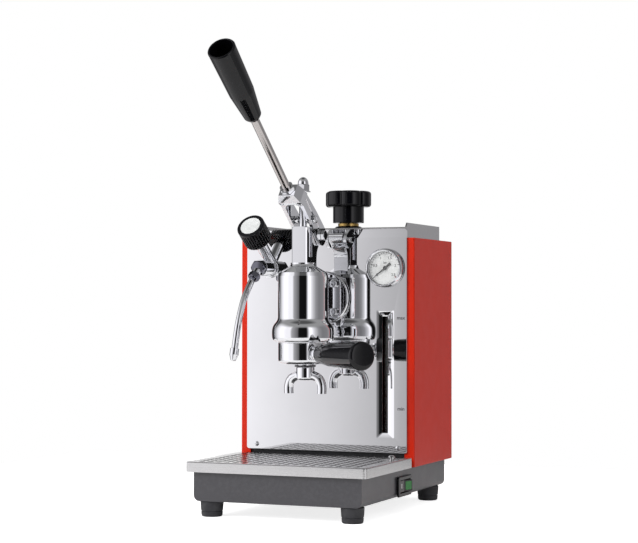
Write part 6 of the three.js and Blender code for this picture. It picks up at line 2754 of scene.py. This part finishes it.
@dataclass(frozen=True)
class Switch(Assembly):
    """Rocker switch in the base's right side.

    Args:
        x: X of the bezel's seat.
        y: Y of its middle.
        z: Height of its middle.
        half: Half length and half height of the bezel.
        frame: Width of the bezel's frame.
        proud: How far the bezel stands out.
        body: Depth of its body behind the seat, and depth of the cavity.
        wing: Half length of the rocker, and how far its ends and its middle stand out.
        thickness: Thickness of the rocker behind the seat.
        lens: Near end, far end and half height of the green lens.
        mark: Size and thickness of the sign on the rocker.
        tilt: How far the rocker is tipped, in degrees.
    """

    x: float = 92.1
    y: float = -12.5
    z: float = 27.5
    half: Pair = (19.5, 10.5)
    frame: float = 3.0
    proud: float = 2.5
    body: Pair = (20.0, 11.0)
    wing: Triple = (15.0, 3.4, 1.2)
    thickness: float = 5.0
    lens: Triple = (2.5, 13.0, 4.4)
    mark: Pair = (7.0, 0.1)
    tilt: float = 8.0

    def build(self, bench: Bench) -> None:
        """Places the bezel, the rocker, its lens and its mark.

        Args:
            bench: Where pieces are placed.
        """
        length, height = self.half
        inner_y, inner_z = length - self.frame, height - self.frame
        outline = rectangle((-length, length), (-height, height), (1.6,) * 4)
        rim = prism(outline, (0, self.proud), Axis.X).bevelled(0.8, 3, 50)
        depth, cavity = self.body
        box = block((-depth, 1), (-inner_y, inner_y), (-inner_z, inner_z))
        room = (inner_y - 2 * FIT, inner_z - 2 * FIT)
        mouth = rectangle((-room[0], room[0]), (-room[1], room[1]), (0.6,) * 4)
        bezel = rim.plus(box).minus(prism(mouth, (-cavity, self.proud + PAST), Axis.X))
        bezel.at(self.x, self.y, self.z)
        bench.place("rocker_bezel", bezel, "machine", Look.BLACK_PLASTIC, "switch_bezel")
        end, face, middle = self.wing
        width = inner_z - self.frame / 2
        wings = [
            (-self.thickness, -end + FIT), (face, -end, 0.8), (middle, 0, 0.6), (face, end, 0.8),
            (-self.thickness, end - FIT),
        ]
        paddle = prism(soften(wings, closed=True), (-width, width)).bevelled(0.35, 2, 50)
        near, far, rise = self.lens
        rake = (face - middle) / end
        deep, proud = 1.5, 0.12
        low, high = middle + rake * near, middle + rake * far
        panel = [(low - deep, near), (low + proud, near), (high + proud, far), (high - deep, far)]
        window = prism(panel, (-rise, rise))
        seat = Shape(window.bm.copy())
        paddle = self._set(paddle.minus(seat))
        bench.place("rocker_paddle", paddle, "rocker", Look.BLACK_PLASTIC, "switch_rocker")
        bench.place("rocker_lens", self._set(window.bevelled(0.15, 2, 50)), "rocker", Look.GREEN_PLASTIC)
        slope = math.atan2(face - middle, end)
        mark = bench.lettering("0", *self.mark).turned_z(math.pi / 2).turned_z(slope)
        mark.at((face + middle) / 2 + 0.08, -end / 2, 0)
        bench.place("rocker_mark", self._set(mark), "rocker", Look.WHITE_PLASTIC)

    def _set(self, shape: Shape) -> Shape:
        """Tips a shape and puts it into the bezel."""
        return shape.turned_z(-math.radians(self.tilt)).at(self.x, self.y, self.z)


# Studio


@dataclass(frozen=True)
class View:
    """The camera of the photograph.

    Args:
        azimuth: Angle from the machine's front to the right, in degrees.
        tilt: How far the view points up, in degrees.
        roll: Turn about the view, in degrees.
        place: Place in machine millimetres.
        lens: Focal length in millimetres.
    """

    azimuth: float = 22.4026
    tilt: float = 1.1751
    roll: float = 0.0698
    place: Triple = (706.514, -1734.446, 213.782)
    lens: float = 98.446

    def right(self) -> Vector:
        """Gives the level direction to the picture's right."""
        turn = math.radians(self.azimuth)
        return Vector((math.cos(turn), math.sin(turn), 0))

    def back(self) -> Vector:
        """Gives the level direction from the machine to the camera."""
        turn = math.radians(self.azimuth)
        return Vector((math.sin(turn), -math.cos(turn), 0))

    def build(self, datum: Datum) -> None:
        """Makes the camera.

        Args:
            datum: The machine's zero in the row frame.
        """
        data = bpy.data.cameras.new("view")
        data.lens = self.lens
        data.sensor_width = SENSOR
        data.clip_end = REACH
        camera = linked("view", data)
        tilt = math.radians(self.tilt)
        forward = -self.back() * math.cos(tilt) + Vector((0, 0, math.sin(tilt)))
        right = self.right()
        up = right.cross(forward)
        turn = Matrix((right, up, -forward)).transposed() @ Matrix.Rotation(math.radians(self.roll), 3, "Z")
        camera.matrix_world = Matrix.Translation(datum.matrix() @ Vector(self.place)) @ turn.to_4x4()
        bpy.context.scene.camera = camera


@dataclass(frozen=True)
class Lamp:
    """One soft area lamp.

    Args:
        name: Its name.
        azimuth: Direction from the machine, in degrees to the right of its front.
        elevation: Angle above the floor, in degrees.
        distance: Distance in metres.
        size: Width and height in metres.
        watts: Its power.
    """

    name: str
    azimuth: float
    elevation: float
    distance: float
    size: Pair
    watts: float

    def build(self, target: Vector) -> None:
        """Makes the lamp.

        Args:
            target: Where it points, in metres.
        """
        data = bpy.data.lights.new(self.name, "AREA")
        data.shape = "RECTANGLE"
        data.size, data.size_y = self.size
        data.energy = self.watts
        lamp = linked(self.name, data)
        turn, rise = math.radians(self.azimuth), math.radians(self.elevation)
        way = Vector((math.sin(turn) * math.cos(rise), -math.cos(turn) * math.cos(rise), math.sin(rise)))
        turned = way.to_track_quat("Z", "Y").to_matrix().to_4x4()
        lamp.matrix_world = Matrix.Translation(target + way * self.distance) @ turned
        lamp.visible_glossy = False


@dataclass(frozen=True)
class Studio:
    """Soft tent light, pale floor and camera.

    Args:
        view: The camera.
        lamps: The area lamps, which light matt surfaces.
        tent: Brightness of the tent by direction: degrees from the camera to the right, and a grey.
        strength: Brightness of the tent as a whole.
        cast: Share of red and of green in the tent's greys.
        behind: Cosines from the camera's side between which metal starts to mirror the white background.
        floor_half: Half width of the floor in metres.
        floor_glow: How much the floor lights up to show white.
        floor_in_metal: Share of that light that metal mirrors.
        aim: What the lamps point at, in machine millimetres.
        roof: Sine of the height where the tent's walls end and where its roof is full.
        ground: The same where the walls end below and where the ground is full.
        ground_colour: Colour of the ground that metal mirrors.
        skylight: Sine of the height at the roof's edge and middle, and its grey at both.
    """

    view: View
    lamps: tuple[Lamp, ...]
    tent: tuple[Pair, ...]
    strength: float = 1.15
    cast: Pair = (0.975, 0.965)
    behind: Pair = (-0.9, -0.99)
    floor_half: float = 0.6
    floor_glow: float = 0.8
    floor_in_metal: float = 0.15
    aim: Triple = (0, 20, 160)
    roof: Pair = (0.45, 0.75)
    ground: Pair = (-0.12, -0.5)
    ground_colour: Colour = (0.42, 0.42, 0.43)
    skylight: Four = (0.82, 0.96, 0.3, 0.08)

    def build(self, datum: Datum) -> None:
        """Makes the world, lamps, floor and camera.

        Args:
            datum: The machine's zero in the row frame.
        """
        self._world()
        target = datum.matrix() @ Vector(self.aim)
        for lamp in self.lamps:
            lamp.build(target)
        self._floor()
        self.view.build(datum)
        bpy.context.scene.view_settings.view_transform = "Standard"

    def _world(self) -> None:
        """Makes the tent that bright metal reflects, and a white background for the camera."""
        world = bpy.data.worlds.new("tent")
        world.use_nodes = True
        bpy.context.scene.world = world
        world.node_tree.nodes.clear()
        graph = Graph(world.node_tree)
        way = graph.add("ShaderNodeTexCoord").outputs["Generated"]

        def dot(axis: Vector) -> bpy.types.NodeSocket:
            """Measures a direction against an axis."""
            node = graph.add("ShaderNodeVectorMath", operation="DOT_PRODUCT", i0=way, i1=axis)
            return node.outputs["Value"]

        turn = graph.math("ARCTAN2", dot(self.view.right()), dot(self.view.back()))
        place = graph.math("ADD", graph.math("DIVIDE", turn, math.tau), 0.5)
        ramp = graph.add("ShaderNodeValToRGB", Fac=place)
        elements = ramp.color_ramp.elements
        for k, (degrees, grey) in enumerate(self.tent):
            position = degrees / 360 + 0.5
            element = elements[k] if k < 2 else elements.new(position)
            element.position = position
            element.color = (grey * self.cast[0], grey * self.cast[1], grey, 1)
        height = dot(Vector((0, 0, 1)))
        above = graph.span(height, *self.roof, 0.0, 1.0)
        below = graph.span(height, *self.ground, 0.0, 1.0)
        lid = graph.span(height, *self.skylight)
        rise = graph.add("ShaderNodeCombineColor", Red=lid, Green=lid, Blue=lid).outputs[0]
        walls = graph.add("ShaderNodeMix", data_type="RGBA", Factor=above, i6=ramp.outputs["Color"], i7=rise)
        tent = graph.tint(below, walls.outputs[2], self.ground_colour)
        light = graph.add("ShaderNodeBackground", Color=tent, Strength=self.strength)
        white = graph.add("ShaderNodeBackground", Color=(1, 1, 1, 1), Strength=1.0)
        path = graph.add("ShaderNodeLightPath").outputs
        behind = graph.span(dot(self.view.back()), *self.behind, 0.0, 1.0)
        mirrored = graph.math("MULTIPLY", path["Is Glossy Ray"], behind)
        seen = graph.math("MAXIMUM", path["Is Camera Ray"], path["Is Transmission Ray"])
        both = graph.add("ShaderNodeMixShader", Fac=graph.math("MAXIMUM", seen, mirrored))
        graph.feed(both, "i1", light.outputs[0])
        graph.feed(both, "i2", white.outputs[0])
        graph.add("ShaderNodeOutputWorld", Surface=both.outputs[0])

    def _floor(self) -> None:
        """Makes the pale floor, which shows white and keeps the machine's shadow."""
        bm = bmesh.new()
        bmesh.ops.create_grid(bm, x_segments=8, y_segments=8, size=self.floor_half)
        mesh = bpy.data.meshes.new("floor")
        bm.to_mesh(mesh)
        bm.free()
        floor = linked("floor", mesh)
        material = bpy.data.materials.new("floor")
        material.use_nodes = True
        graph = Graph(material.node_tree)
        shader = material.node_tree.nodes["Principled BSDF"]
        plain = {"Base_Color": (0.85, 0.85, 0.85, 1), "Roughness": 1.0, "Specular_IOR_Level": 0.0}
        for name, value in plain.items():
            graph.feed(shader, name, value)
        graph.feed(shader, "Emission_Color", (1, 1, 1, 1))
        path = graph.add("ShaderNodeLightPath").outputs
        seen = graph.math("MAXIMUM", path["Is Camera Ray"], path["Is Transmission Ray"])
        mirrored = graph.math("MULTIPLY", path["Is Glossy Ray"], self.floor_in_metal)
        seen = graph.math("MAXIMUM", seen, mirrored)
        graph.feed(shader, "Emission_Strength", graph.math("MULTIPLY", seen, self.floor_glow))
        mesh.materials.append(material)


# Light and dark round the camera, as the polished plate mirrors them
TENT: tuple[Pair, ...] = (
    (-180, 0.9), (-168, 0.5), (-158, 0.03), (-138, 0.03), (-128, 0.12), (-119, 0.5), (-106, 0.92),
    (-92, 1.15), (-78, 1.15), (-64, 1.0), (-48, 0.98), (-44, 0.62), (-42, 0.42), (-37, 0.34), (-25, 0.20),
    (-19, 0.14), (-15, 0.008), (14, 0.006), (18, 0.25), (23, 0.95), (27, 1.2), (33, 1.2), (38, 0.9),
    (46, 0.62), (61, 0.30), (78, 0.20), (100, 0.22), (122, 0.36), (140, 0.38), (152, 0.15), (162, 0.3),
    (180, 0.9),
)

STUDIO = Studio(
    view=View(),
    lamps=(
        Lamp("key", azimuth=-30, elevation=28, distance=2.4, size=(1.6, 1.2), watts=42),
        Lamp("fill", azimuth=75, elevation=30, distance=2.6, size=(1.6, 1.4), watts=7),
        Lamp("top", azimuth=10, elevation=80, distance=2.2, size=(1.8, 1.8), watts=18),
    ),
    tent=TENT,
)


def main() -> None:
    """Builds the machine and its studio, and logs each piece."""
    logging.basicConfig(level=logging.INFO, format="%(name)s: %(message)s")
    datum = Datum.from_frame()
    bench = Bench(datum)
    machine: tuple[Assembly, ...] = (
        Base(), Housing(), Front(), CupCover(), BoilerTop(), Gauge(), Group(), Piston(), Lever(),
        Portafilter(), SteamTap(), Tray(), Switch(),
    )
    for assembly in machine:
        assembly.build(bench)
        assembly.dress(bench)
    STUDIO.build(datum)


if __name__ == "__main__":
    main()
